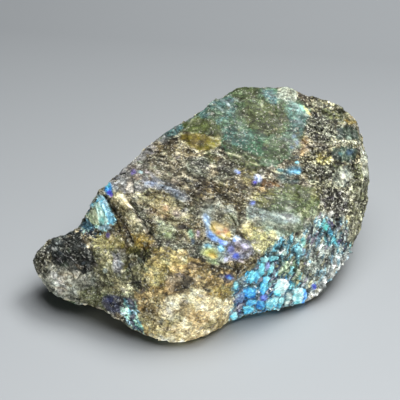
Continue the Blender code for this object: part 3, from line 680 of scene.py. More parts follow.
# Bright coloured spots, in the order they are laid: middle x, y, half width, half height, turn (degrees clockwise),
# colour, strength, roughness, metallic, softness of the edge (a share of the size).
SPOTS = [
    # the teal plate: grey-blue scratches, periwinkle spots, the rainbow edge
    (227, 103, 7, 1.3, 48, (178, 190, 196), 0.8, 0.4, 0.2, 0.5),
    (221, 99, 4, 1.2, 48, (168, 184, 188), 0.7, 0.4, 0.2, 0.5),
    (222, 110, 5, 1.0, 40, (160, 176, 182), 0.6, 0.4, 0.2, 0.5),
    (236, 100, 4, 0.9, 30, (170, 182, 184), 0.5, 0.4, 0.2, 0.5),
    (299, 110, 6, 4.4, 40, (112, 150, 154), 0.6, 0.35, 0.3, 0.6),
    (293, 104, 5, 3, 30, (104, 140, 140), 0.6, 0.4, 0.2, 0.6),
    (299, 120, 6, 3.4, 70, (108, 134, 136), 0.5, 0.4, 0.2, 0.6),
    (308, 112, 6, 1.6, 50, (226, 190, 128), 0.8, 0.35, 0.2, 0.5),
    (306, 110, 6, 1.4, 50, (206, 208, 140), 0.8, 0.35, 0.2, 0.5),
    (303, 109, 6, 1.6, 50, (134, 200, 172), 0.8, 0.35, 0.2, 0.5),
    (294, 137, 2.8, 2.2, 0, (122, 144, 176), 0.6, 0.35, 0.3, 0.6),
    (297, 143, 2.2, 2.8, 0, (126, 140, 176), 0.6, 0.35, 0.3, 0.6),
    (292, 147, 2.6, 1.8, 0, (112, 136, 168), 0.55, 0.35, 0.3, 0.6),
    # blue patches to the plate's right
    (293, 171, 8, 4.4, -10, (84, 134, 158), 0.85, 0.35, 0.0, 0.6),
    (298, 171, 4, 3, -15, (88, 150, 182), 0.9, 0.35, 0.4, 0.5),
    (297, 163, 2.2, 1.6, 0, (120, 200, 224), 0.9, 0.3, 0.4, 0.5),
    (281, 170, 3.5, 1.6, 10, (96, 160, 168), 0.7, 0.35, 0.3, 0.5),
    # small gems along the band
    (237, 172, 3.2, 2.0, 20, (170, 190, 232), 0.95, 0.3, 0.3, 0.4),
    (239, 173, 1.6, 1.2, 0, (110, 134, 226), 0.9, 0.3, 0.3, 0.5),
    (258, 178, 4.2, 4.4, 20, (186, 202, 240), 1.0, 0.28, 0.3, 0.35),
    (255, 182, 2.2, 2.2, 0, (96, 92, 204), 0.9, 0.3, 0.3, 0.5),
    (258, 175, 2.0, 1.6, 0, (240, 246, 252), 1.0, 0.25, 0.1, 0.5),
    (271, 174, 2.0, 1.5, 0, (236, 238, 220), 0.9, 0.3, 0.0, 0.5),
    (253, 203, 2.8, 3.0, 20, (112, 132, 212), 0.95, 0.3, 0.3, 0.5),
    (133, 172, 2.8, 2.8, 0, (144, 134, 200), 0.9, 0.3, 0.3, 0.4),
    (132, 174, 1.4, 1.6, 0, (104, 90, 178), 0.8, 0.3, 0.3, 0.5),
    # painted glint: a cyan-white highlight beside the lilac gem
    (140, 172, 3.0, 1.4, 20, (196, 232, 238), 0.95, 0.3, 0.2, 0.5),
    (147, 172, 2.2, 1.5, 0, (244, 230, 234), 0.9, 0.3, 0.0, 0.5),
    (151, 183, 4.8, 3.0, 10, (112, 128, 156), 0.7, 0.4, 0.2, 0.6),
    (146, 184, 2.6, 1.6, 10, (144, 164, 184), 0.5, 0.4, 0.2, 0.5),
    (115, 188, 3.0, 4.4, -10, (180, 196, 208), 0.55, 0.4, 0.1, 0.6),
    (166, 187, 9, 2.0, 20, (142, 160, 176), 0.45, 0.35, 0.2, 0.6),
    (178, 197, 7, 2.4, 30, (132, 156, 172), 0.5, 0.35, 0.2, 0.6),
    # the cyan to violet gem at the left end of the ridge
    (108, 188, 3.9, 7.2, -12, (70, 156, 226), 1.0, 0.28, 0.4, 0.3),
    (107, 184, 2.4, 2.8, 0, (126, 226, 240), 1.0, 0.25, 0.3, 0.4),
    (109, 192, 2.6, 2.8, 0, (86, 90, 214), 0.95, 0.28, 0.4, 0.4),
    (111, 195, 1.8, 1.8, 0, (120, 84, 190), 0.8, 0.3, 0.3, 0.5),
    # the basin: green dots, a dark hole, pale and blue spots
    (168, 233, 3.2, 3.2, 0, (150, 172, 112), 0.6, 0.4, 0.1, 0.6),
    (186, 216, 4.4, 2.4, 0, (206, 204, 160), 0.6, 0.4, 0.0, 0.5),
    (177, 214, 3.4, 4.6, -20, (158, 150, 160), 0.5, 0.4, 0.0, 0.6),
    (166, 208, 3.4, 3.0, 30, (168, 122, 84), 0.5, 0.4, 0.0, 0.6),
    (191, 233, 2.6, 4.4, -30, (96, 150, 124), 0.7, 0.4, 0.1, 0.6),
    (184, 214, 3.0, 2.0, 0, (240, 232, 206), 0.85, 0.4, 0.0, 0.5),
    # painted shade: the dark inside a hole, laid as a dark spot
    (183, 227, 3.8, 2.6, 10, (34, 30, 26), 0.9, 0.6, 0.0, 0.4),
    (193, 240, 2.4, 3.4, 0, (76, 104, 146), 0.6, 0.35, 0.3, 0.5),
    (198, 233, 2.0, 4.0, 0, (130, 120, 190), 0.5, 0.35, 0.2, 0.5),
    # the iridescent oval and what is round it
    (214, 232, 12, 9, 32, (128, 136, 156), 0.4, 0.4, 0.1, 0.4),
    (208, 223, 3.6, 9.0, -26, (142, 176, 212), 0.85, 0.35, 0.1, 0.6),
    (206, 217, 2.6, 4.0, -20, (150, 176, 208), 0.8, 0.3, 0.3, 0.4),
    (213, 236, 4.2, 8.0, -48, (112, 158, 228), 0.95, 0.3, 0.1, 0.5),
    (222, 242, 3.0, 4.4, -50, (92, 132, 234), 0.95, 0.3, 0.1, 0.45),
    (225, 243, 2.4, 2.6, 0, (160, 190, 246), 0.9, 0.28, 0.3, 0.5),
    (221, 231, 10.6, 7.2, 32, (174, 154, 102), 0.95, 0.4, 0.0, 0.35),
    (215, 226.5, 5.6, 4.4, 30, (184, 162, 91), 0.9, 0.4, 0.0, 0.6),
    (220, 228.5, 5.0, 2.4, 30, (195, 185, 154), 0.85, 0.35, 0.0, 0.5),
    (219, 233, 3.2, 2.6, 20, (165, 113, 83), 0.75, 0.4, 0.0, 0.6),
    (226, 231, 3.2, 3.0, 20, (171, 121, 87), 0.8, 0.4, 0.0, 0.6),
    (223, 235, 3.6, 1.4, 30, (193, 189, 164), 0.8, 0.35, 0.0, 0.5),
    (229, 235, 2.4, 2.6, 0, (193, 177, 91), 0.9, 0.35, 0.0, 0.5),
    (222, 238, 5.6, 1.3, 28, (203, 198, 106), 0.8, 0.35, 0.0, 0.5),
    (237, 238, 3.6, 2.8, 0, (206, 226, 246), 1.0, 0.28, 0.2, 0.35),
    (235, 240, 2.2, 1.6, 0, (120, 160, 244), 0.9, 0.28, 0.3, 0.5),
    # the patch below it: yellow-green with a blue-green rim
    (213, 252, 14, 8.6, 25, (136, 170, 172), 0.7, 0.35, 0.0, 0.5),
    (208, 246, 4, 2.4, 20, (96, 160, 200), 0.85, 0.3, 0.3, 0.4),
    (221, 248, 3.2, 4.4, -30, (120, 190, 226), 0.85, 0.3, 0.3, 0.4),
    (210, 253, 8.4, 5.6, 15, (176, 176, 96), 0.85, 0.4, 0.0, 0.6),
    (213, 256, 4.6, 3.0, 20, (196, 164, 76), 0.8, 0.4, 0.0, 0.6),
    (214, 262, 7.4, 3.0, 10, (160, 182, 136), 0.75, 0.4, 0.0, 0.6),
    (226, 259, 2.2, 3.6, 10, (190, 196, 240), 0.85, 0.3, 0.2, 0.5),
    (236, 256, 3.6, 3.0, 25, (76, 94, 190), 0.9, 0.35, 0.1, 0.5),
    (231, 249, 3.6, 4.4, 0, (112, 120, 186), 0.8, 0.35, 0.2, 0.5),
    (244, 247, 4.4, 3.4, 0, (176, 172, 200), 0.7, 0.35, 0.1, 0.5),
    (241, 261, 3.4, 1.8, 10, (214, 206, 226), 0.7, 0.35, 0.1, 0.5),
    # flecks in the dark ridge
    (229, 277, 3.8, 2.0, 15, (60, 76, 168), 0.95, 0.3, 0.3, 0.4),
    (230, 278, 1.8, 1.4, 0, (96, 170, 226), 0.9, 0.3, 0.3, 0.5),
    (236, 285, 2.0, 4.4, -12, (86, 206, 234), 1.0, 0.26, 0.4, 0.35),
    (237, 287, 1.4, 2.2, 0, (44, 110, 190), 0.8, 0.3, 0.3, 0.5),
    # the right-hand side
    (304, 243, 3.0, 4.8, 15, (176, 232, 222), 0.95, 0.3, 0.2, 0.4),
    (303, 240, 2.0, 2.4, 0, (86, 170, 176), 0.8, 0.3, 0.2, 0.5),
    (299, 251, 2.6, 4.6, 25, (160, 208, 210), 0.8, 0.3, 0.2, 0.5),
    (326, 227, 2.6, 4.6, 0, (110, 214, 206), 0.95, 0.3, 0.3, 0.4),
    (331, 233, 2.4, 3.6, 0, (84, 164, 190), 0.85, 0.3, 0.3, 0.5),
    (335, 240, 2.2, 4.4, -10, (84, 180, 196), 0.85, 0.3, 0.3, 0.5),
    (332, 259, 1.8, 5.0, 0, (134, 186, 212), 0.75, 0.3, 0.2, 0.5),
    (338, 262, 1.6, 3.6, 0, (112, 176, 204), 0.6, 0.3, 0.2, 0.5),
    (315, 287, 2.6, 2.6, 0, (84, 92, 206), 0.95, 0.3, 0.3, 0.4),
    (313, 288, 1.4, 1.4, 0, (140, 190, 236), 0.8, 0.3, 0.3, 0.5),
    (289, 209, 4.0, 2.0, 0, (214, 220, 214), 0.6, 0.45, 0.0, 0.6),
    (350, 152, 4.0, 3.4, 0, (64, 92, 118), 0.75, 0.35, 0.2, 0.5),
    (341, 154, 2.4, 2.6, 0, (70, 124, 132), 0.6, 0.35, 0.2, 0.5),
    (331, 214, 2.4, 4.0, 0, (238, 240, 232), 0.8, 0.35, 0.0, 0.4),
    (343, 176, 3.0, 3.4, 0, (248, 244, 228), 0.7, 0.4, 0.0, 0.5),
    # the left end
    (108, 235, 2.4, 3.0, 0, (104, 92, 160), 0.85, 0.3, 0.3, 0.4),
    (123, 197, 4.6, 2.4, 35, (246, 238, 212), 0.85, 0.45, 0.0, 0.4),
    (129, 205, 4.0, 2.0, 40, (238, 230, 204), 0.8, 0.45, 0.0, 0.5),
    (138, 220, 2.4, 1.8, 0, (236, 226, 196), 0.7, 0.45, 0.0, 0.5),
    # painted highlight: a pale streak of light on the glassy black face
    (54, 249, 3.6, 1.6, 20, (206, 210, 206), 0.9, 0.3, 0.1, 0.5),
    (57, 282, 1.8, 1.2, 0, (236, 238, 230), 0.9, 0.3, 0.0, 0.5),
    (110, 300, 4.0, 3.0, 0, (70, 78, 126), 0.6, 0.35, 0.3, 0.5),
    # the gold bar under the plate
    (186, 133, 4.0, 1.8, 0, (44, 34, 16), 0.7, 0.5, 0.0, 0.5),
    (213, 166, 3.4, 2.2, -15, (236, 226, 196), 0.85, 0.45, 0.0, 0.5),
]
SEAMS = [
    (1.0, 0.3, (54, 44, 28), 0.55, [(168, 146), (182, 150), (198, 154), (214, 158), (228, 164)]),
    (0.9, 0.25, (52, 44, 30), 0.5, [(150, 158), (164, 162), (180, 170), (190, 180)]),
    (1.0, 0.3, (50, 42, 28), 0.5, [(200, 182), (214, 184), (230, 188), (246, 196)]),
    (0.9, -0.2, (210, 204, 178), 0.5, [(176, 153), (190, 157), (202, 156)]),
    (0.9, -0.2, (206, 200, 176), 0.45, [(224, 170), (236, 178), (248, 184)]),
    (0.9, -0.2, (200, 196, 170), 0.45, [(148, 168), (160, 172), (174, 178)]),
    (0.9, 0.25, (50, 44, 32), 0.5, [(136, 176), (150, 180), (164, 184), (180, 190), (194, 198)]),
    (1.4, -0.2, (196, 196, 190), 0.6, [(322, 293), (332, 282), (341, 268), (346, 258)]),
    (1.2, 0.3, (30, 28, 20), 0.6, [(103, 194), (107, 201), (112, 208)]),
    (0.8, 0.1, (90, 90, 70), 0.3, [(264, 221), (278, 226), (295, 233), (300, 240)]),
    # pale broken edges and dark cracks, with one painted shadow along a rib among them: how wide (px), how deep in mm
    # (below 0 is a ridge), colour, strength, line
    (1.0, 0.15, (206, 200, 168), 0.7, [(179, 140), (189, 146), (202, 152), (212, 151), (221, 142)]),
    (1.0, 0.1, (186, 190, 168), 0.6, [(158, 138), (172, 138), (181, 134), (196, 132), (214, 138), (222, 138)]),
    (1.1, 0.35, (180, 178, 142), 0.7, [(222, 150), (236, 154), (248, 160), (262, 166), (274, 170), (284, 173)]),
    (0.9, 0.1, (196, 200, 170), 0.6, [(190, 150), (205, 152), (216, 151), (226, 158)]),
    (0.8, 0.1, (198, 200, 178), 0.5, [(262, 99), (262, 112), (259, 122)]),
    (0.8, 0.1, (190, 196, 180), 0.4, [(222, 131), (238, 128), (256, 131), (274, 133)]),
    (0.8, 0.1, (190, 196, 180), 0.4, [(213, 104), (230, 112), (248, 116)]),
    (0.8, 0.2, (58, 50, 36), 0.45, [(239, 190), (241, 200), (240, 212), (239, 224), (237, 234)]),
    # painted shadow along the pale rib's right side, over a groove cut there too
    (1.2, 0.4, (46, 38, 30), 0.6, [(128, 202), (135, 212), (144, 226), (150, 238), (158, 249)]),
    (1.2, 0.5, (40, 34, 26), 0.55, [(104, 196), (110, 206), (118, 216), (126, 229), (133, 244)]),
    (1.2, 0.4, (44, 38, 28), 0.5, [(150, 232), (160, 246), (176, 256), (192, 262), (206, 266)]),
    (1.0, 0.3, (52, 48, 36), 0.5, [(142, 273), (150, 264), (160, 256), (170, 251)]),
    (1.6, 0.6, (26, 24, 18), 0.6, [(90, 246), (92, 258), (90, 270)]),
    (1.3, -0.3, (196, 202, 182), 0.55, [(320, 142), (334, 143), (346, 142), (359, 143)]),
    (0.9, -0.2, (190, 198, 178), 0.5, [(333, 124), (334, 132), (338, 140)]),
    (0.8, -0.1, (150, 166, 158), 0.5, [(347, 127), (350, 134), (347, 140)]),
    (0.9, -0.2, (206, 208, 184), 0.5, [(308, 103), (322, 104), (338, 108)]),
    (1.0, 0.3, (30, 30, 22), 0.6, [(308, 112), (322, 110), (334, 116), (336, 124)]),
    (1.2, 0.4, (34, 32, 24), 0.6, [(335, 164), (344, 163), (356, 160)]),
    (1.1, 0.4, (36, 34, 26), 0.6, [(350, 180), (350, 190), (352, 199), (362, 203)]),
    (1.1, 0.4, (34, 32, 24), 0.5, [(306, 158), (312, 166), (318, 174), (322, 184)]),
    (1.0, -0.2, (180, 186, 166), 0.5, [(186, 127), (191, 121), (197, 116)]),
    (0.8, 0.1, (86, 86, 66), 0.35, [(244, 228), (262, 224), (280, 228), (298, 230), (312, 238)]),
    (0.8, -0.1, (206, 210, 192), 0.4, [(268, 222), (282, 226), (298, 226), (308, 222)]),
    (1.0, -0.2, (206, 204, 180), 0.5, [(246, 222), (256, 218), (264, 220)]),
    (1.1, 0.4, (36, 34, 26), 0.5, [(321, 196), (324, 206), (330, 216), (340, 220)]),
    (1.0, 0.3, (40, 40, 30), 0.5, [(351, 214), (352, 228), (349, 242), (342, 258)]),
    (1.2, 0.3, (52, 46, 34), 0.6, [(244, 183), (256, 186), (270, 180), (286, 182), (300, 183)]),
    (0.9, 0.25, (58, 50, 34), 0.55, [(132, 193), (144, 203), (156, 212), (167, 223)]),
    (0.8, 0.2, (70, 60, 40), 0.5, [(141, 191), (152, 200), (164, 211), (172, 220)]),
    (0.8, 0.2, (78, 68, 46), 0.45, [(151, 190), (163, 199), (175, 211)]),
    (0.8, 0.2, (70, 62, 44), 0.55, [(235, 204), (238, 214), (239, 224), (236, 233)]),
    (1.0, 0.3, (50, 44, 34), 0.4, [(192, 178), (206, 178), (216, 186), (224, 196)]),
    (1.0, -0.2, (216, 210, 186), 0.5, [(196, 192), (208, 194), (216, 199)]),
    (1.0, -0.2, (214, 208, 184), 0.45, [(160, 163), (176, 168), (188, 178)]),
    (1.0, 0.3, (46, 40, 32), 0.45, [(182, 178), (190, 186), (202, 190)]),
    (1.0, -0.2, (208, 206, 184), 0.4, [(210, 146), (228, 153), (242, 156)]),
]

# Lumps and hollows: middle x, y, half width, half height, turn (degrees clockwise), height in mm.
LUMPS = [
    (287, 93, 10, 7, 15, 1.1), (198, 167, 13, 10, 0, 0.9), (200, 141, 20, 7, 8, 0.35), (220, 214, 18, 11, 25, 0.45),
    (178, 242, 24, 12, 20, -0.7), (146, 224, 6, 24, -32, -0.7), (128, 213, 6, 24, -33, 0.45), (113, 216, 5, 22, -30, -0.6),
    (366, 138, 8, 14, 0, -0.5), (233, 88, 16, 9, -10, 1.0), (172, 126, 13, 8, -35, 0.8), (122, 163, 14, 8, -45, 0.8), (330, 292, 12, 10, -50, 0.7), (285, 318, 26, 6, -10, 0.5), (143, 241, 11, 6, 15, 0.4), (174, 256, 22, 6, 20, 0.5), (239, 216, 2.5, 13, 5, -0.3), (276, 206, 28, 13, 5, 0.3), (92, 311, 36, 7, 27, -1.3),
]

# Leaning plates: outline in the picture, colour at the dull end, colour at the bright end, lean (mm over the
# plate, across and down the picture).
PLATES = [
    ([(278, 279.5), (283, 278.5), (287, 280), (289, 285), (286, 291), (281, 295), (275, 293.5), (275.5, 287)], (175, 249, 248), (255, 255, 255), (0.2, -0.4)),
    ([(275, 290.5), (279, 290), (281.5, 292), (280, 296), (274, 295)], (82, 209, 233), (175, 255, 255), (0.2, 0.3)),
    ([(260, 284), (264, 282.5), (268.5, 284.5), (268.5, 289), (263, 294), (259.5, 290.5)], (40, 152, 225), (140, 240, 255), (-0.3, 0.3)),
    ([(263, 277.5), (266, 276), (269.5, 277.5), (268.5, 282), (265, 283.5), (262.5, 281)], (70, 165, 216), (151, 232, 250), (0.3, -0.2)),
    ([(260, 266), (263.5, 263.5), (265, 267.5), (263.5, 274), (260.5, 276), (258.5, 271)], (70, 183, 210), (175, 255, 255), (0.2, 0.3)),
    ([(270.5, 265.5), (274.5, 262.5), (275.5, 267), (272.5, 272), (270, 273.5)], (105, 209, 218), (229, 255, 255), (-0.3, 0.2)),
    ([(265.5, 262), (270, 262.5), (270, 267), (267, 270), (265.5, 266)], (77, 95, 147), (154, 165, 214), (0.2, 0.2)),
    ([(261, 258.5), (265.5, 256.5), (268.5, 258.5), (267, 262), (262, 263)], (105, 188, 200), (187, 245, 244), (0.2, -0.3)),
    ([(268.5, 258), (274, 256), (279, 257), (277, 260), (270, 261.5)], (58, 133, 153), (143, 216, 220), (0.2, -0.2)),
    ([(249, 273), (252, 270.5), (255, 271.5), (254, 280), (250.5, 284), (248.5, 279)], (58, 165, 206), (157, 249, 255), (0.3, 0.2)),
    ([(254.5, 272), (258.5, 271.5), (259, 278), (256, 283), (254, 281)], (52, 133, 185), (121, 216, 242), (-0.2, 0.2)),
    ([(243.5, 290), (249, 287.5), (255.5, 288), (256, 294), (252, 298.5), (245, 297)], (32, 114, 200), (112, 216, 255), (0.3, -0.3)),
    ([(238.5, 296), (243, 292), (244.5, 298), (241, 303), (237.5, 302)], (60, 84, 124), (129, 165, 206), (0.2, 0.2)),
    ([(260.5, 296), (265, 294.5), (268, 296.5), (266, 300.5), (261, 301)], (52, 66, 147), (117, 143, 225), (0.2, 0.2)),
    ([(271, 298.5), (278.5, 297), (277.5, 302), (270.5, 308.5), (265.5, 307.5), (267, 302)], (82, 196, 227), (201, 255, 255), (0.3, 0.2)),
    ([(258, 301), (264, 301.5), (265, 305), (261, 309), (256, 308)], (30, 106, 189), (98, 194, 244), (0.2, 0.3)),
    ([(248, 300), (256, 299.5), (256.5, 304), (250, 306.5), (246, 304.5)], (46, 133, 200), (129, 220, 252), (0.2, -0.2)),
    ([(243, 307.5), (249, 306), (254, 308), (252, 312), (244, 314)], (58, 165, 225), (145, 245, 255), (0.2, 0.2)),
    ([(231, 317), (233, 312.5), (237, 312), (237.5, 316), (233, 320)], (98, 216, 244), (205, 255, 255), (0.2, 0.2)),
    ([(294, 289.5), (299, 288), (303, 288.5), (304, 296), (301, 304), (295, 305), (293, 298)], (112, 209, 216), (229, 255, 255), (0.2, -0.2)),
    ([(303, 289), (306, 290), (307, 297), (304, 303), (301.5, 304), (303.5, 296)], (52, 106, 210), (129, 209, 255), (0.3, 0.2)),
    ([(279, 299.5), (283, 297.5), (285, 299), (281, 307), (278, 308)], (82, 176, 200), (187, 249, 248), (0.3, 0.2)),
    ([(286, 294), (290, 292), (291.5, 297), (288, 306), (284.5, 307), (286, 300)], (112, 154, 158), (229, 243, 233), (0.3, -0.2)),
    ([(234, 283.5), (237, 282), (238.5, 284), (236, 289), (233.5, 288.5)], (70, 194, 220), (199, 255, 255), (0.2, 0.2)),
]
LEFT_PLATES = [
    ([(97, 195), (102, 196), (106, 202), (109, 211), (112, 216), (107, 216), (101, 207)], (96, 171, 196), (188, 220, 234), (0.3, 0.2)),
    ([(107, 213), (111, 213), (115, 220), (112, 224), (108, 221)], (77, 146, 175), (147, 202, 224), (0.3, 0.2)),
    ([(95, 203), (99, 204), (104, 213), (108, 222), (105, 226), (100, 222), (96, 213)], (110, 173, 167), (195, 218, 205), (-0.2, 0.2)),
    ([(90, 210), (95, 207), (98, 217), (99, 224), (93, 224), (88, 217)], (129, 147, 112), (197, 207, 175), (0.2, 0.2)),
    ([(99, 226), (107, 225), (111, 228), (103, 230), (98, 229)], (101, 136, 148), (162, 187, 196), (0.2, 0.2)),
    ([(83, 222), (89, 221), (94, 227), (90, 230), (84, 228)], (42, 75, 93), (96, 136, 150), (0.2, 0.2)),
]
BLUE_FACE = [
    (230, 320), (228, 313), (234, 302), (234, 292), (238, 286), (243, 280), (248, 272), (256, 268), (258, 261), (263, 256),
    (272, 254), (276, 245), (282, 240), (292, 242), (302, 241), (301, 255), (299, 268), (304, 281), (309, 290),
    (308, 303), (300, 309), (280, 314), (256, 316), (243, 319)]
LEFT_FLASH = [(97, 196), (104, 197), (111, 211), (115, 223), (108, 227), (98, 231), (84, 230), (78, 226), (86, 216), (91, 205)]
MINT_FLASH = [(123, 304), (132, 301), (137, 305), (137, 316), (144, 334), (136, 332), (124, 320), (121, 312)]

# Splintered ground: which cells (see Surface), how dark its borders are, strength, outline, and its colours with
# how much of each.
SPLINTERS = [
    # the blue face: cyan and blue splinters at the left and foot, teal and grey ones above, green and white at the right
    ("slant", 0.3, 1.0, BLUE_FACE, [
        ((90, 181, 216), 2.6), ((146, 232, 247), 2.2), ((63, 132, 185), 2), ((54, 73, 97), 2.4), ((126, 151, 164), 2.6),
        ((213, 249, 247), 1.4), ((169, 171, 187), 1.8), ((92, 112, 109), 2)]),
    ("slant", 0.35, 0.95, [(258, 262), (266, 250), (276, 240), (292, 236), (306, 238), (304, 258), (292, 266), (278, 264), (268, 262)], [
        ((70, 106, 118), 3), ((106, 150, 160), 3), ((124, 196, 214), 1.4), ((44, 58, 62), 2), ((168, 190, 178), 2.2),
        ((218, 248, 244), 0.8), ((113, 120, 97), 1)]),
    ("slant", 0.35, 0.95, [(276, 264), (288, 260), (302, 258), (308, 270), (308, 286), (296, 288), (290, 278), (280, 276)], [
        ((78, 98, 78), 2.4), ((140, 160, 130), 3), ((198, 215, 182), 2.6), ((255, 255, 240), 1.6), ((50, 60, 72), 1.6),
        ((125, 188, 195), 1.2), ((208, 200, 148), 1)]),
    ("slant", 0.35, 0.95, [(283, 292), (293, 288), (296, 306), (284, 309), (278, 309)], [
        ((96, 134, 143), 3), ((168, 197, 202), 2.5), ((231, 249, 249), 1.6), ((49, 67, 78), 2), ((112, 202, 224), 1.6)]),
    ("slant", 0.3, 0.9, [(234, 300), (243, 296), (246, 304), (240, 314), (232, 312)], [
        ((97, 106, 150), 3), ((60, 64, 97), 2.4), ((154, 161, 193), 1.6), ((202, 202, 214), 1), ((69, 150, 207), 1.4)]),
    ("slant", 0.5, 0.95, [(306, 290), (313, 289), (316, 296), (311, 303), (306, 304)], [
        ((62, 50, 60), 3), ((92, 80, 92), 2.4), ((140, 128, 134), 1.4), ((36, 30, 34), 2)]),
    # the left flash, and the mint one above the front edge
    ("lean", 0.15, 1.0, LEFT_FLASH, [
        ((148, 210, 208), 3), ((95, 172, 204), 2.4), ((183, 221, 198), 2), ((174, 192, 146), 1.6), ((69, 114, 135), 1.4),
        ((219, 239, 245), 1)]),
    ("lean", 0.3, 1.0, MINT_FLASH, [
        ((136, 186, 170), 3), ((186, 226, 208), 2), ((84, 130, 140), 2), ((112, 116, 130), 1.6), ((60, 70, 80), 1.6),
        ((170, 206, 220), 1.2)]),
    ("lean", 0.4, 0.9, [(80, 221), (90, 219), (98, 229), (94, 234), (80, 232)], [
        ((48, 74, 100), 3), ((84, 130, 150), 2), ((36, 44, 62), 2), ((120, 150, 140), 1.5)]),
    # the right-hand side
    ("upright", 0.25, 0.85, [(303, 228), (320, 214), (346, 218), (352, 250), (338, 276), (312, 300), (304, 288), (300, 262), (303, 245)], [
        ((142, 154, 146), 3), ((176, 190, 184), 2.4), ((232, 242, 234), 1.2), ((92, 104, 102), 2.4), ((52, 60, 66), 1.2),
        ((116, 156, 172), 2.2), ((128, 124, 142), 1), ((164, 164, 132), 1.6)]),
    ("upright", 0.3, 0.95, [(319, 218), (330, 220), (342, 232), (352, 244), (352, 258), (338, 262), (328, 246), (319, 234)], [
        ((92, 146, 160), 2.4), ((128, 198, 204), 1.4), ((62, 94, 112), 2.4), ((158, 172, 164), 2.2), ((49, 58, 62), 2.4),
        ((228, 246, 242), 1), ((108, 103, 139), 1)]),
    ("upright", 0.1, 0.9, [(334, 258), (353, 250), (340, 282), (320, 303), (305, 307), (305, 298), (316, 288), (326, 272)], [
        ((205, 209, 202), 3), ((236, 240, 236), 2.2), ((168, 176, 174), 2.6), ((136, 144, 144), 1.4), ((187, 186, 166), 1),
        ((139, 183, 205), 0.8)]),
    ("sliver", 0.25, 0.25, [(304, 102), (337, 100), (356, 110), (368, 132), (372, 176), (352, 190), (332, 190), (312, 186), (303, 166), (302, 148), (306, 130), (310, 114)], [
        ((92, 92, 66), 3), ((139, 139, 108), 2.6), ((191, 191, 161), 2), ((244, 244, 220), 1.3), ((46, 46, 33), 2.6),
        ((68, 84, 75), 1.6), ((31, 29, 22), 1.2), ((167, 145, 99), 0.8)]),
    ("crumb", 0.25, 0.6, [(318, 190), (346, 188), (352, 214), (334, 218), (320, 208)], [
        ((37, 35, 29), 3), ((84, 81, 66), 2.4), ((141, 139, 121), 1.8), ((227, 227, 216), 1.6), ((101, 95, 108), 1.2)]),
    ("upright", 0.25, 0.65, [(348, 182), (374, 180), (372, 212), (356, 244), (346, 240), (350, 214)], [
        ((118, 119, 96), 3), ((162, 163, 138), 2.6), ((72, 73, 58), 2.6), ((206, 207, 184), 1.8), ((38, 38, 30), 1.3)]),
    # the toe's pale slope and its tip
    ("crumb", 0.3, 0.2, [(30, 262), (42, 268), (52, 264), (72, 270), (94, 270), (104, 286), (96, 306), (64, 298), (44, 290)], [
        ((112, 114, 100), 3), ((154, 156, 142), 2.6), ((196, 198, 188), 1.8), ((66, 66, 52), 2.4), ((36, 34, 26), 1.4), ((146, 140, 96), 1.4)]),
    ("crumb", 0.3, 0.6, [(32, 262), (36, 246), (46, 244), (50, 250), (49, 262), (45, 272), (36, 274)], [
        ((48, 48, 42), 3), ((101, 103, 94), 2), ((158, 160, 151), 1.4), ((218, 220, 212), 1), ((25, 25, 21), 2)]),
    # the front lobe
    ("crumb", 0.2, 0.22, [(160, 304), (176, 292), (198, 287), (214, 297), (230, 300), (238, 306), (232, 320), (216, 336), (196, 346), (168, 344), (150, 338), (146, 322)], [
        ((214, 202, 162), 3), ((240, 232, 200), 3), ((186, 172, 128), 2.4), ((148, 132, 88), 1.6), ((104, 88, 54), 1.2),
        ((252, 248, 228), 1.4)]),
]

# ---------------------------------------------------------------- relief


def along(x, y):
    """A direction given in the picture (x right, y down), as a unit vector in the part's frame."""
    d = x * RIGHT - y * UP
    return d / np.linalg.norm(d)


def stretched(direction, times):
    """The matrix that makes cells that many times longer along a direction."""
    return np.eye(3) - (1 - 1 / times) * np.outer(direction, direction)


def leaning(key, offset, n):
    """Height of a flat plate whose slope differs from cell to cell, in mm."""
    t = key * 2 - 1
    t = t - (t * n).sum(1, keepdims=True) * n
    return (offset * t).sum(1)


def terraces(s, cell, period, angle, jitter, seed):
    """Treads and risers of broken cleavage. angle (degrees, clockwise from the picture's right) is where the
    steps run, and each cell turns it a little. Returns the height over the period, each tread's own key, and
    how near the point is to its riser (0 to 1)."""
    key, offset, _ = cell
    theta = np.radians(angle + jitter * (key[:, 1] - 0.5))
    across = np.sin(theta)[:, None] * RIGHT + np.cos(theta)[:, None] * UP
    u = (offset * across).sum(1) / period + key[:, 2] * 7
    u = u + 0.34 * rough(s.points, period * 3.2, seed) + 0.10 * rough(s.points, period * 0.9, seed + 1)
    tread = np.floor(u)
    f = u - tread
    up = np.where(key[:, 0] > 0.3, 1.0, -1.0)
    own = hashed(tread, np.floor(key[:, 0] * 9973), np.floor(key[:, 1] * 9973), seed + 2)
    reach = 0.55 + 0.9 * own
    return up * (f - 0.5) * reach, own, np.where(up > 0, 1 - f, f)


def ramp(colours, v):
    """sRGB colours from dark to light, read at v (0 to 1)."""
    c = np.array(colours, float)
    at = np.linspace(0, 1, len(c))
    return np.stack([np.interp(v, at, c[:, k]) for k in range(3)], 1)


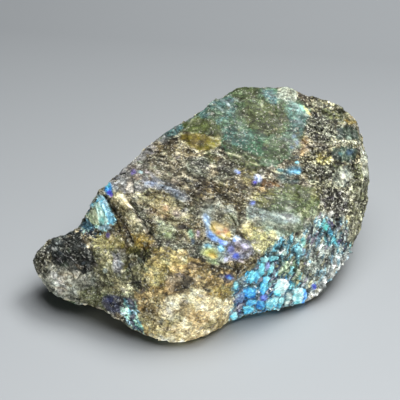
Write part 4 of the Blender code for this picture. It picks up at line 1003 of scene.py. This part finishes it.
class Surface:
    """Everything that is known at each point of the fine mesh."""

    def __init__(self):
        points, faces = fine_copy()
        points, faces = thinned_base(points, faces, BASE_SHARE)
        self.faces = faces
        self.edges = neighbours(len(points), faces)
        raw = normals_of(points, faces)
        self.under = (points[:, 2] < 0.3) & (raw[:, 2] < -0.6)
        soft = spread(points, self.edges, 10)
        held = self.under | (points[:, 2] < 0.02)
        soft[held, 2] = points[held, 2]
        self.points = soft
        n = spread(normals_of(soft, faces), self.edges, 12)
        self.n = n / np.linalg.norm(n, axis=1, keepdims=True)
        p = self.points
        self.seen = step(self.n @ BACK, -0.05, 0.18)
        self.x, self.y = on_picture(p)
        bend = np.stack([rough(p, 6.5, 101 + k) for k in range(3)], 1) * 0.9
        bend += np.stack([rough(p, 2.1, 111 + k) for k in range(3)], 1) * 0.35
        w = p + bend
        self.w = w
        self.big = cells(w, 5.0, 1)
        self.small = cells(w, 2.3, 2)
        self.grain = cells(w, 1.1, 3)
        self.fibre = cells(w, 0.85, 4, stretched(along(1, 0.24), 4.5))
        self.scratch = cells(w, 0.6, 6, stretched(along(1, 0.62), 7.0))
        self.shard = cells(w, 0.95, 5, stretched(along(0.12, -1), 2.8))
        self.slant = cells(w, 0.72, 14, stretched(along(0.34, -1), 3.2))
        self.upright = cells(w, 0.74, 15, stretched(along(0.14, -1), 3.0))
        self.lean = cells(w, 0.66, 16, stretched(along(0.46, 1), 5.0))
        self.sliver = cells(w, 0.78, 17, stretched(along(1, 0.12), 2.4))
        self.crumb = cells(w, 0.92, 18, stretched(along(1, 0.5), 1.5))
        self.block = cells(w, 3.6, 12, stretched(along(1, 0.3), 2.4))
        angle = np.full(len(p), 17.0)
        bx, by = on_picture(p - self.block[1])
        for degrees, outline in DIRECTIONS:
            angle = np.where((inside(bx, by, outline) > 0) & (self.n @ BACK > -0.05), degrees, angle)
        self.steep = np.where(np.abs(angle) > 60, 1.0, 0.0)
        self.angle = angle
        self.steps = terraces(self, self.block, 2.5, angle, 26, 31)
        self.narrow = terraces(self, self.block, 1.15, angle, 26, 41)
        self.wave = rougher(p, 9.0, 7, 3)
        self.fine = rougher(p, 1.2, 8, 2)
        self.cloud = rougher(p, 5.0, 9, 3, 0.6)

    def moved(self, amount_small, amount_grain):
        """Where each point falls in the picture once it is pulled towards its cells' middles, so that an
        outline read there follows the grains."""
        q = self.points - amount_small * self.small[1] - amount_grain * self.grain[1]
        return on_picture(q)


def value_of(s, amps):
    """How light a point is within its ground's colours, from 0 to 1."""
    a_big, a_small, a_grain, a_fibre, a_shard = amps
    g = s.grain[0][:, 0]
    v = 0.5 + 0.34 * s.cloud + 0.14 * s.fine
    v = v + a_big * 0.36 * (s.big[0][:, 0] - 0.5)
    v = v + a_small * 0.36 * (s.small[0][:, 0] - 0.5)
    # painted glints: the few brightest grains are made lighter still, and the few darkest are made darker
    v = v + a_grain * (0.22 * (g - 0.5) + 0.18 * (g > 0.93) - 0.14 * (g < 0.08))
    v = v + a_fibre * (0.30 * (s.fibre[0][:, 0] - 0.5) + 0.22 * (s.steps[1] - 0.5) + 0.22 * (s.narrow[1] - 0.5))
    # painted light on the steps: a painted highlight as a lighter band on each tread just before its riser, and painted
    # shadow at the riser itself, on the broad and the narrow steps
    v = v + a_fibre * (0.14 * step(s.steps[2], 0.45, 0.72) - 0.38 * step(s.steps[2], 0.74, 0.95))
    v = v - a_fibre * 0.18 * step(s.narrow[2], 0.6, 0.95)
    sh = s.shard[0][:, 0]
    # painted glints on the few brightest shards; the few darkest are made darker
    v = v + a_shard * (0.50 * (sh - 0.5) + 0.22 * (sh > 0.92) - 0.16 * (sh < 0.10))
    # painted shade: darker along the borders between grains and between the small cells, where they meet in cracks
    v = v - a_grain * 0.10 * (1 - step(s.grain[2], 0.02, 0.16)) - a_small * 0.16 * (1 - step(s.small[2], 0.02, 0.10))
    return np.clip(v, 0, 1)


def painted(s):
    """Colour (sRGB), amounts of each kind of relief and finish at each point, from the grounds."""
    looks = {}

    def look(name):
        if name not in looks:
            colours, amps, finish = GROUNDS[name]
            looks[name] = (ramp(colours, value_of(s, amps)), np.array(amps), np.array((*finish, name in CRUMBLY)))
        return looks[name]

    count = len(s.points)
    colour, amps, finish = np.zeros((count, 3)), np.zeros((count, 5)), np.zeros((count, 3))
    # the sides out of the picture: the same grounds, in patches
    names = [name for name, _ in HIDDEN]
    bounds = np.cumsum([share for _, share in HIDDEN])
    bounds /= bounds[-1]
    patch = cells(s.w - 0.7 * s.small[1], 15.0, 21)[0]
    little = cells(s.w - 0.7 * s.small[1], 6.0, 22)[0]
    pick = np.where(little[:, 1] > 0.68, little[:, 0], patch[:, 0])
    which = np.searchsorted(bounds, pick)
    for k, name in enumerate(names):
        rows = which == k
        c, a, f = look(name)
        colour[rows], amps[rows], finish[rows] = c[rows], a, f
    # what the picture shows, over it; a small zone's outline follows the grains less
    loose, tight = s.moved(0.75, 0.6), s.moved(0.2, 0.45)
    for name, soft, strength, outline in ZONES:
        c, a, f = look(name)
        ring = np.array(outline, float)
        area = abs((ring[:, 0] * np.roll(ring[:, 1], -1) - ring[:, 1] * np.roll(ring[:, 0], -1)).sum()) / 2
        x, y = loose if area > 700 else tight
        w = (strength * s.seen * step(inside(x, y, outline), -soft, soft))[:, None]
        colour += w * (c - colour)
        amps += w * (a - amps)
        finish += w * (f - finish)
    return colour, amps, finish


def odd_grains(s, colour, finish):
    """A few grains of another mineral or another tint in every ground."""
    for cell, seed_key, share, much in ((s.grain, 1, 0.06, 0.4), (s.small, 2, 0.08, 0.22), (s.fibre, 1, 0.08, 0.3)):
        start = 0.0
        key = cell[0][:, seed_key]
        for rgb, part in ODD:
            rows = (key >= start) & (key < start + part * share)
            colour[rows] += much * (np.array(rgb, float) - colour[rows])
            start += part * share
    # slight tints, so that no two grains match
    for cell, size in ((s.small, 0.05), (s.grain, 0.04), (s.big, 0.06)):
        k = cell[0]
        tint = 1 + size * (np.stack([k[:, 1], 0.5 * (k[:, 1] + k[:, 2]), k[:, 2]], 1) - 0.5)
        colour *= tint


def creases(s, colour, height, rough_share):
    """Thin dark creases that wander through the rougher ground."""
    for size, width, seed, much in ((8.0, 0.050, 201, 0.55), (4.2, 0.055, 211, 0.45), (2.4, 0.06, 221, 0.32)):
        line = np.abs(rough(s.w, size, seed))
        here = rough_share * step(rough(s.points, size * 1.4, seed + 1), -0.05, 0.3)
        w = here * (1 - step(line, width * 0.35, width))
        colour *= (1 - much * w)[:, None]
        height -= 0.05 * size ** 0.5 * w


def lumps(s, height):
    near = step(s.n @ BACK, -0.45, -0.05)
    for cx, cy, rx, ry, turn, tall in LUMPS:
        d = from_oval(s.x, s.y, cx, cy, rx, ry, turn)
        height += tall * near * (1 - step(d, 0.15, 1.25))


def seams(s, colour, height):
    x, y = on_picture(s.points + 0.3 * (s.w - s.points))
    wander = rough(s.points, 1.6, 55)
    for width, depth, rgb, strength, line in SEAMS:
        near = (np.abs(x - line[0][0]) < 400)
        d = from_line(x[near], y[near], line) + 0.7 * wander[near]
        broken = step(rough(s.points, 3.0, 57), -0.35, 0.15)
        w = s.seen * (1 - step(d, width * 0.5, width * 1.6)) * broken
        colour += (strength * w)[:, None] * (np.array(rgb, float) - colour)
        height -= depth * s.seen * (1 - step(d, 0, width * 2.6))


def spots(s, colour, finish, metal):
    x, y = on_picture(s.points - 0.2 * s.grain[1] + 0.2 * (s.w - s.points))
    light = 0.86 + 0.20 * s.grain[0][:, 0] + 0.14 * s.fine + 0.10 * (s.fibre[0][:, 0] - 0.5)
    for cx, cy, rx, ry, turn, rgb, strength, roughness, metallic, soft in SPOTS:
        d = from_oval(x, y, cx, cy, rx, ry, turn)
        w = strength * s.seen * (1 - step(d, 0.9 - soft, 1.05 + soft * 0.8))
        colour += w[:, None] * (np.clip(np.array(rgb, float) * light[:, None], 0, 255) - colour)
        finish[:, 0] += w * (roughness - finish[:, 0])
        finish[:, 1] *= 1 - 0.6 * w
        metal += w * (0.4 * metallic - metal)


def splinters(s, colour, finish, height):
    """Ground broken into small pieces, each with a colour of its own."""
    for kind, dark, strength, outline, colours in SPLINTERS:
        key, offset, border = getattr(s, kind)
        x, y = on_picture(s.points - 0.8 * offset + 0.3 * (s.w - s.points))
        w = strength * s.seen * step(inside(x, y, outline), -0.9, 0.9)
        rgb = np.array([c for c, _ in colours], float)
        bounds = np.cumsum([share for _, share in colours])
        pick = np.minimum(np.searchsorted(bounds / bounds[-1], key[:, 0]), len(rgb) - 1)
        c = rgb[pick] * (0.86 + 0.28 * key[:, 1] + 0.16 * s.fine + 0.22 * s.cloud + 0.16 * (s.small[0][:, 0] - 0.5))[:, None]
        c *= (1 - 0.55 * dark * (1 - step(border, 0.03, 0.16)))[:, None]
        colour += w[:, None] * (c - colour)
        finish[:, 0] += w * (0.40 - finish[:, 0])
        height += w * (0.40 * leaning(key, offset, s.n) + 0.16 * (key[:, 2] - 0.5) - 0.10 * (1 - step(border, 0.04, 0.22)))


def plates(s, table, colour, finish, metal, height, gap, slant, grow, depth):
    """Leaning plates with a thin dark gap round each."""
    x = s.x + 0.25 * rough(s.points, 1.6, 71) + 0.10 * rough(s.points, 0.7, 72)
    y = s.y + 0.25 * rough(s.points, 1.6, 73) + 0.10 * rough(s.points, 0.7, 74)
    stripe = rough(s.points @ stretched(along(*slant), 4.0), 0.6, 76)
    near = np.full(len(x), -9.0)
    layers = []
    for outline, dull, bright, (lx, ly) in table:
        d = inside(x, y, outline) + grow
        near = np.maximum(near, d)
        layers.append(d)
    edge = depth * s.seen * step(near, -1.2, -0.4) * (1 - step(near, -0.1, 0.4))
    dark = np.array(gap, float) * (0.6 + 0.9 * s.grain[0][:, :1])
    colour += (0.7 * edge)[:, None] * (dark - colour)
    height -= 0.16 * edge
    for (outline, dull, bright, (lx, ly)), d in zip(table, layers):
        on = s.seen * step(d, -0.1, 0.7)
        cx, cy = np.mean(outline, 0)
        size = np.ptp(np.array(outline), 0) / 2
        dx, dy = np.clip((x - cx) / size[0], -1.5, 1.5), np.clip((y - cy) / size[1], -1.5, 1.5)
        t = np.clip(0.60 + 0.20 * (dx - dy) + 0.95 * stripe + 0.20 * s.fine, 0, 1)
        c = np.array(dull, float) + t[:, None] * (np.array(bright, float) - dull)
        colour += (0.97 * on)[:, None] * (c - colour)
        finish[:, 0] += on * (0.30 - finish[:, 0])
        finish[:, 1] += on * (0.4 - finish[:, 1])
        metal += on * (0.08 - metal)
        height += on * (0.14 + lx * dx + ly * dy - 0.75 * height + 0.06 * stripe)


def relief(s, amps):
    n = s.n
    h = 0.24 * s.wave
    h = h + amps[:, 0] * (0.22 * leaning(s.big[0], s.big[1], n) + 0.40 * (s.big[0][:, 2] - 0.5))
    h = h + amps[:, 1] * (0.26 * leaning(s.small[0], s.small[1], n) + 0.16 * (s.small[0][:, 0] - 0.5))
    h = h + amps[:, 2] * (0.22 * leaning(s.grain[0], s.grain[1], n) + 0.08 * (s.grain[0][:, 0] - 0.5))
    h = h + amps[:, 3] * (0.42 * s.steps[0] + 0.20 * s.narrow[0] + 0.10 * (s.fibre[0][:, 0] - 0.5))
    h = h + amps[:, 4] * (0.22 * (s.shard[0][:, 0] - 0.5) + 0.36 * leaning(s.shard[0], s.shard[1], n))
    return h


def stone():
    s = Surface()
    colour, amps, finish = painted(s)
    metal = np.zeros(len(s.points))
    height = relief(s, amps)
    odd_grains(s, colour, finish)
    creases(s, colour, height, step(finish[:, 1], 0.55, 0.95))
    # fine scratches down the black face
    black = s.seen * step(inside(s.x, s.y, [z for z in ZONES if z[0] == "black"][0][3]), -1, 2)
    scratch = s.scratch[0][:, 0]
    colour *= (1 + black * (0.5 * (scratch - 0.45)))[:, None]
    height += black * 0.22 * (scratch - 0.5)
    splinters(s, colour, finish, height)
    seams(s, colour, height)
    spots(s, colour, finish, metal)
    plates(s, PLATES, colour, finish, metal, height, (66, 80, 96), (0.34, -1), 0.45, 0.9)
    plates(s, LEFT_PLATES, colour, finish, metal, height, (120, 160, 160), (0.46, 1), 0.9, 0.3)
    height = np.clip(height, -1.1, 1.1)
    lumps(s, height)
    height = np.where(s.under, -np.abs(height) * 0.5 - 0.02, height)
    points = s.points + s.n * height[:, None]
    # the sides draw in just above the floor, so the stone stands in its own shadow
    inward = 1.1 * (1 - step(s.points[:, 2], 0.2, 2.2)) * step(s.points[:, 2], -0.01, 0.05)
    flat = s.n * (1, 1, 0)
    points -= inward[:, None] * flat
    low = s.under | (s.points[:, 2] < 0.25)
    points[low, 2] = np.maximum(points[low, 2], 0.0)
    points[:, 2] = np.maximum(points[:, 2], 0.0)
    return s, points, np.clip(colour, 0, 255), finish, metal


s, points, colour, finish, metal = stone()

mesh = bpy.data.meshes.new("labradorite")
mesh.from_pydata((points * MM).tolist(), [], s.faces.tolist())
mesh.update()
tint = mesh.color_attributes.new("tint", "FLOAT_COLOR", "POINT")
rgba = np.ones((len(points), 4), np.float32)
c = colour / 255
rgba[:, :3] = np.where(c <= 0.04045, c / 12.92, ((c + 0.055) / 1.055) ** 2.4)
rgba[:, 3] = finish[:, 2]
tint.data.foreach_set("color", rgba.ravel())
kind = mesh.color_attributes.new("finish", "FLOAT_COLOR", "POINT")
rgba = np.ones((len(points), 4), np.float32)
rgba[:, 0], rgba[:, 1], rgba[:, 2], rgba[:, 3] = finish[:, 0], metal, finish[:, 1], s.steep
kind.data.foreach_set("color", rgba.ravel())
mesh.shade_smooth()
mesh.set_sharp_from_angle(angle=math.radians(30))
rock = bpy.data.objects.new("labradorite", mesh)
bpy.context.scene.collection.objects.link(rock)


# ---------------------------------------------------------------- materials


def node(tree, kind, inputs=None, **settings):
    made = tree.nodes.new("ShaderNode" + kind)
    for name, value in settings.items():
        setattr(made, name, value)
    for name, value in (inputs or {}).items():
        socket = made.inputs[name]
        if isinstance(value, bpy.types.NodeSocket):
            tree.links.new(value, socket)
        else:
            socket.default_value = value
    return made


def flakes(t, place, direction, times, scale):
    """Small cells drawn out along a direction of the part's frame: each cell's own three numbers, and the
    distance to its border."""
    turned = Vector(direction).rotation_difference(Vector((1, 0, 0))).to_euler()
    level = node(t, "Mapping", {"Vector": place, "Rotation": turned}).outputs[0]
    drawn = node(t, "Mapping", {"Vector": level, "Scale": (1 / times, 1.0, 1.0)}).outputs[0]
    cell = node(t, "TexVoronoi", {"Vector": drawn, "Scale": scale, "Randomness": 1.0}, feature="F1").outputs
    return node(t, "SeparateColor", {0: cell["Color"]}).outputs, cell["Distance"]


def math_node(t, operation, a, b, clamp=False):
    return node(t, "Math", {0: a, 1: b}, operation=operation, use_clamp=clamp).outputs[0]


def mapped(t, value, low, high, to_low, to_high):
    inputs = {"Value": value, "From Min": low, "From Max": high, "To Min": to_low, "To Max": to_high}
    return node(t, "MapRange", inputs).outputs[0]


def stone_material():
    material = bpy.data.materials.new("labradorite")
    material.use_nodes = True
    t = material.node_tree
    t.nodes.clear()
    out = node(t, "OutputMaterial")
    shader = node(t, "BsdfPrincipled")
    t.links.new(shader.outputs[0], out.inputs[0])
    place = node(t, "TexCoord").outputs["Object"]
    tint_node = node(t, "Attribute", attribute_name="tint")
    tint, crumbly = tint_node.outputs["Color"], tint_node.outputs["Alpha"]
    kind_node = node(t, "Attribute", attribute_name="finish")
    kind = node(t, "SeparateColor", {0: kind_node.outputs["Color"]}).outputs
    steep_share = kind_node.outputs["Alpha"]
    # the cells' borders wander
    drift = node(t, "TexNoise", {"Vector": place, "Scale": 330.0, "Detail": 3.0, "Roughness": 0.6}).outputs["Color"]
    drift = node(t, "VectorMath", {0: drift, 1: (0.5, 0.5, 0.5)}, operation="SUBTRACT").outputs[0]
    drift = node(t, "VectorMath", {0: drift, 3: 0.0026}, operation="SCALE").outputs[0]
    bent = node(t, "VectorMath", {0: place, 1: drift}, operation="ADD").outputs[0]
    # flakes along the cleavage, near level on most of the stone and steep on its right side, at two sizes
    flake, flake_edge = flakes(t, bent, along(1, 0.3), 4.4, 1100.0)
    upright, upright_edge = flakes(t, bent, along(0.16, -1), 3.0, 1050.0)
    small, small_edge = flakes(t, bent, along(1, 0.42), 3.2, 2300.0)
    one = node(t, "Mix", {"Factor": steep_share, "A": flake[0], "B": upright[0]}).outputs[0]
    edge = node(t, "Mix", {"Factor": steep_share, "A": flake_edge, "B": upright_edge}).outputs[0]
    crumb, crumb_edge = flakes(t, bent, along(1, 0.25), 1.8, 1650.0)
    one = node(t, "Mix", {"Factor": crumbly, "A": one, "B": crumb[0]}).outputs[0]
    edge = node(t, "Mix", {"Factor": crumbly, "A": edge, "B": crumb_edge}).outputs[0]
    tiny = node(t, "TexVoronoi", {"Vector": place, "Scale": 2600.0}, feature="F1").outputs
    tiny_key = node(t, "SeparateColor", {0: tiny["Color"]}).outputs
    light = mapped(t, one, 0, 1, 0.76, 1.24)
    mottle = node(t, "TexNoise", {"Vector": bent, "Scale": 620.0, "Detail": 4.0, "Roughness": 0.7}).outputs[0]
    light = math_node(t, "MULTIPLY", light, mapped(t, mottle, 0.3, 0.7, 0.60, 1.40))
    light = math_node(t, "MULTIPLY", light, mapped(t, small[0], 0, 1, 0.72, 1.28))
    light = math_node(t, "MULTIPLY", light, mapped(t, tiny_key[0], 0, 1, 0.62, 1.38))
    light = math_node(t, "MULTIPLY", light, mapped(t, edge, 0.50, 0.85, 1.0, 0.50))
    eased = math_node(t, "POWER", light, math_node(t, "MULTIPLY", kind[2], 1.35))
    shaded = node(t, "Mix", {"Factor": 1.0, "A": tint, "B": eased}, data_type="RGBA", blend_type="MULTIPLY").outputs["Result"]
    # painted highlight: the brightest flakes lose their tint and turn pale, like glints
    pale = math_node(t, "MULTIPLY", mapped(t, eased, 1.3, 2.8, 0.0, 0.2), kind[2])
    shaded = node(t, "Mix", {"Factor": math_node(t, "MULTIPLY", pale, 1.0, True), "A": shaded, "B": (0.62, 0.63, 0.56, 1.0)}, data_type="RGBA").outputs["Result"]
    # dark pits and glints: a few tiny faces that lie in shadow or catch the light
    pit = math_node(t, "MULTIPLY", math_node(t, "LESS_THAN", tiny_key[1], 0.08), kind[2])
    pitted = node(t, "Mix", {"Factor": math_node(t, "MULTIPLY", pit, 0.55, True), "A": shaded, "B": (0.016, 0.014, 0.010, 1.0)}, data_type="RGBA").outputs["Result"]
    glint = math_node(t, "MULTIPLY", math_node(t, "GREATER_THAN", tiny_key[2], 0.93), kind[2])
    lit = node(t, "Mix", {"Factor": math_node(t, "MULTIPLY", glint, 0.27, True), "A": pitted, "B": (0.76, 0.76, 0.66, 1.0)}, data_type="RGBA").outputs["Result"]
    t.links.new(lit, shader.inputs["Base Color"])
    t.links.new(kind[1], shader.inputs["Metallic"])
    wear = mapped(t, small[1], 0, 1, -0.16, 0.16)
    t.links.new(math_node(t, "ADD", kind[0], wear, True), shader.inputs["Roughness"])
    # each flake stands a little proud of its neighbour
    raised = math_node(t, "ADD", one, math_node(t, "MULTIPLY", small[0], 0.5))
    raised = math_node(t, "SUBTRACT", raised, math_node(t, "MULTIPLY", edge, 0.6))
    bump = node(t, "Bump", {"Strength": 0.5, "Distance": 0.00030, "Height": raised})
    t.links.new(math_node(t, "MULTIPLY", kind[2], 0.55, True), bump.inputs["Strength"])
    t.links.new(bump.outputs[0], shader.inputs["Normal"])
    shader.inputs["IOR"].default_value = 1.56
    shader.inputs["Specular IOR Level"].default_value = 0.2
    return material


mesh.materials.append(stone_material())
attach(rock, "root")
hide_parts(NODE)


# ---------------------------------------------------------------- floor, light and camera


FLOOR_FAR, FLOOR_NEAR = (0.244, 0.261, 0.277, 1), (0.538, 0.572, 0.602, 1)


def floor_material():
    material = bpy.data.materials.new("floor")
    material.use_nodes = True
    t = material.node_tree
    shader = t.nodes["Principled BSDF"]
    # painted shade: the floor's colour is lighter towards the viewer and a little darker to the right, standing in for
    # the light's falloff
    place = node(t, "TexCoord").outputs["Object"]
    nearer = node(t, "VectorMath", {0: place, 1: (BACK * (1, 1, 0) * 1.35 - RIGHT * 0.12).tolist()}, operation="DOT_PRODUCT").outputs["Value"]
    level = node(t, "MapRange", {"Value": nearer, "From Min": -0.095, "From Max": 0.095}, clamp=True).outputs[0]
    mixed = node(t, "Mix", {"Factor": level, "A": FLOOR_FAR, "B": FLOOR_NEAR}, data_type="RGBA").outputs["Result"]
    t.links.new(mixed, shader.inputs["Base Color"])
    shader.inputs["Roughness"].default_value = 0.75
    shader.inputs["Specular IOR Level"].default_value = 0.25
    return material


bm = bmesh.new()
bmesh.ops.create_grid(bm, x_segments=1, y_segments=1, size=6.0)
floor_mesh = bpy.data.meshes.new("floor")
bm.to_mesh(floor_mesh)
bm.free()
floor_mesh.materials.append(floor_material())
floor = bpy.data.objects.new("floor", floor_mesh)
floor.location = (0, 0, 0)
bpy.context.scene.collection.objects.link(floor)


AWAY = np.array((-BACK[0], -BACK[1], 0.0)) / np.hypot(BACK[0], BACK[1])


def softbox(name, right, away, up, size, watts, colour):
    """An area light that faces the stone. Its place is given from the stone: to the view's right, away from
    the camera, and up, in metres."""
    light = bpy.data.lights.new(name, "AREA")
    light.shape = "RECTANGLE"
    light.size, light.size_y = size
    light.energy = watts
    light.color = colour
    obj = bpy.data.objects.new(name, light)
    place = Vector((right * RIGHT + away * AWAY + (0, 0, up)).tolist())
    obj.location = place
    obj.rotation_euler = (-place).to_track_quat("-Z", "Y").to_euler()
    bpy.context.scene.collection.objects.link(obj)
    return obj


softbox("overhead", 0.10, 0.08, 0.46, (0.46, 0.44), 2.7, (1.0, 0.99, 0.975))
softbox("key", 0.21, 0.20, 0.44, (0.20, 0.20), 1.46, (1.0, 0.99, 0.97))
softbox("front", 0.05, -0.80, 0.019, (0.60, 0.034), 5.6, (1.0, 0.99, 0.98))
# the front light falls on the stone alone, so that the stone's own shadow stays dark
lit = bpy.data.collections.new("lit from the front")
lit.objects.link(rock)
bpy.data.objects["front"].light_linking.receiver_collection = lit

world = bpy.data.worlds.new("world")
world.use_nodes = True
world.node_tree.nodes["Background"].inputs[0].default_value = (0.82, 0.86, 0.92, 1)
world.node_tree.nodes["Background"].inputs[1].default_value = 0.03
bpy.context.scene.world = world
bpy.context.scene.view_settings.view_transform = "Standard"

camera = bpy.data.cameras.new("camera")
camera.sensor_width = SENSOR
camera.lens = LENS
camera.clip_start, camera.clip_end = 0.01, 50
view = bpy.data.objects.new("camera", camera)
turn = Matrix((RIGHT.tolist(), UP.tolist(), BACK.tolist())).transposed()
view.matrix_world = Matrix.Translation(EYE.tolist()) @ turn.to_4x4()
bpy.context.scene.collection.objects.link(view)
bpy.context.scene.camera = view
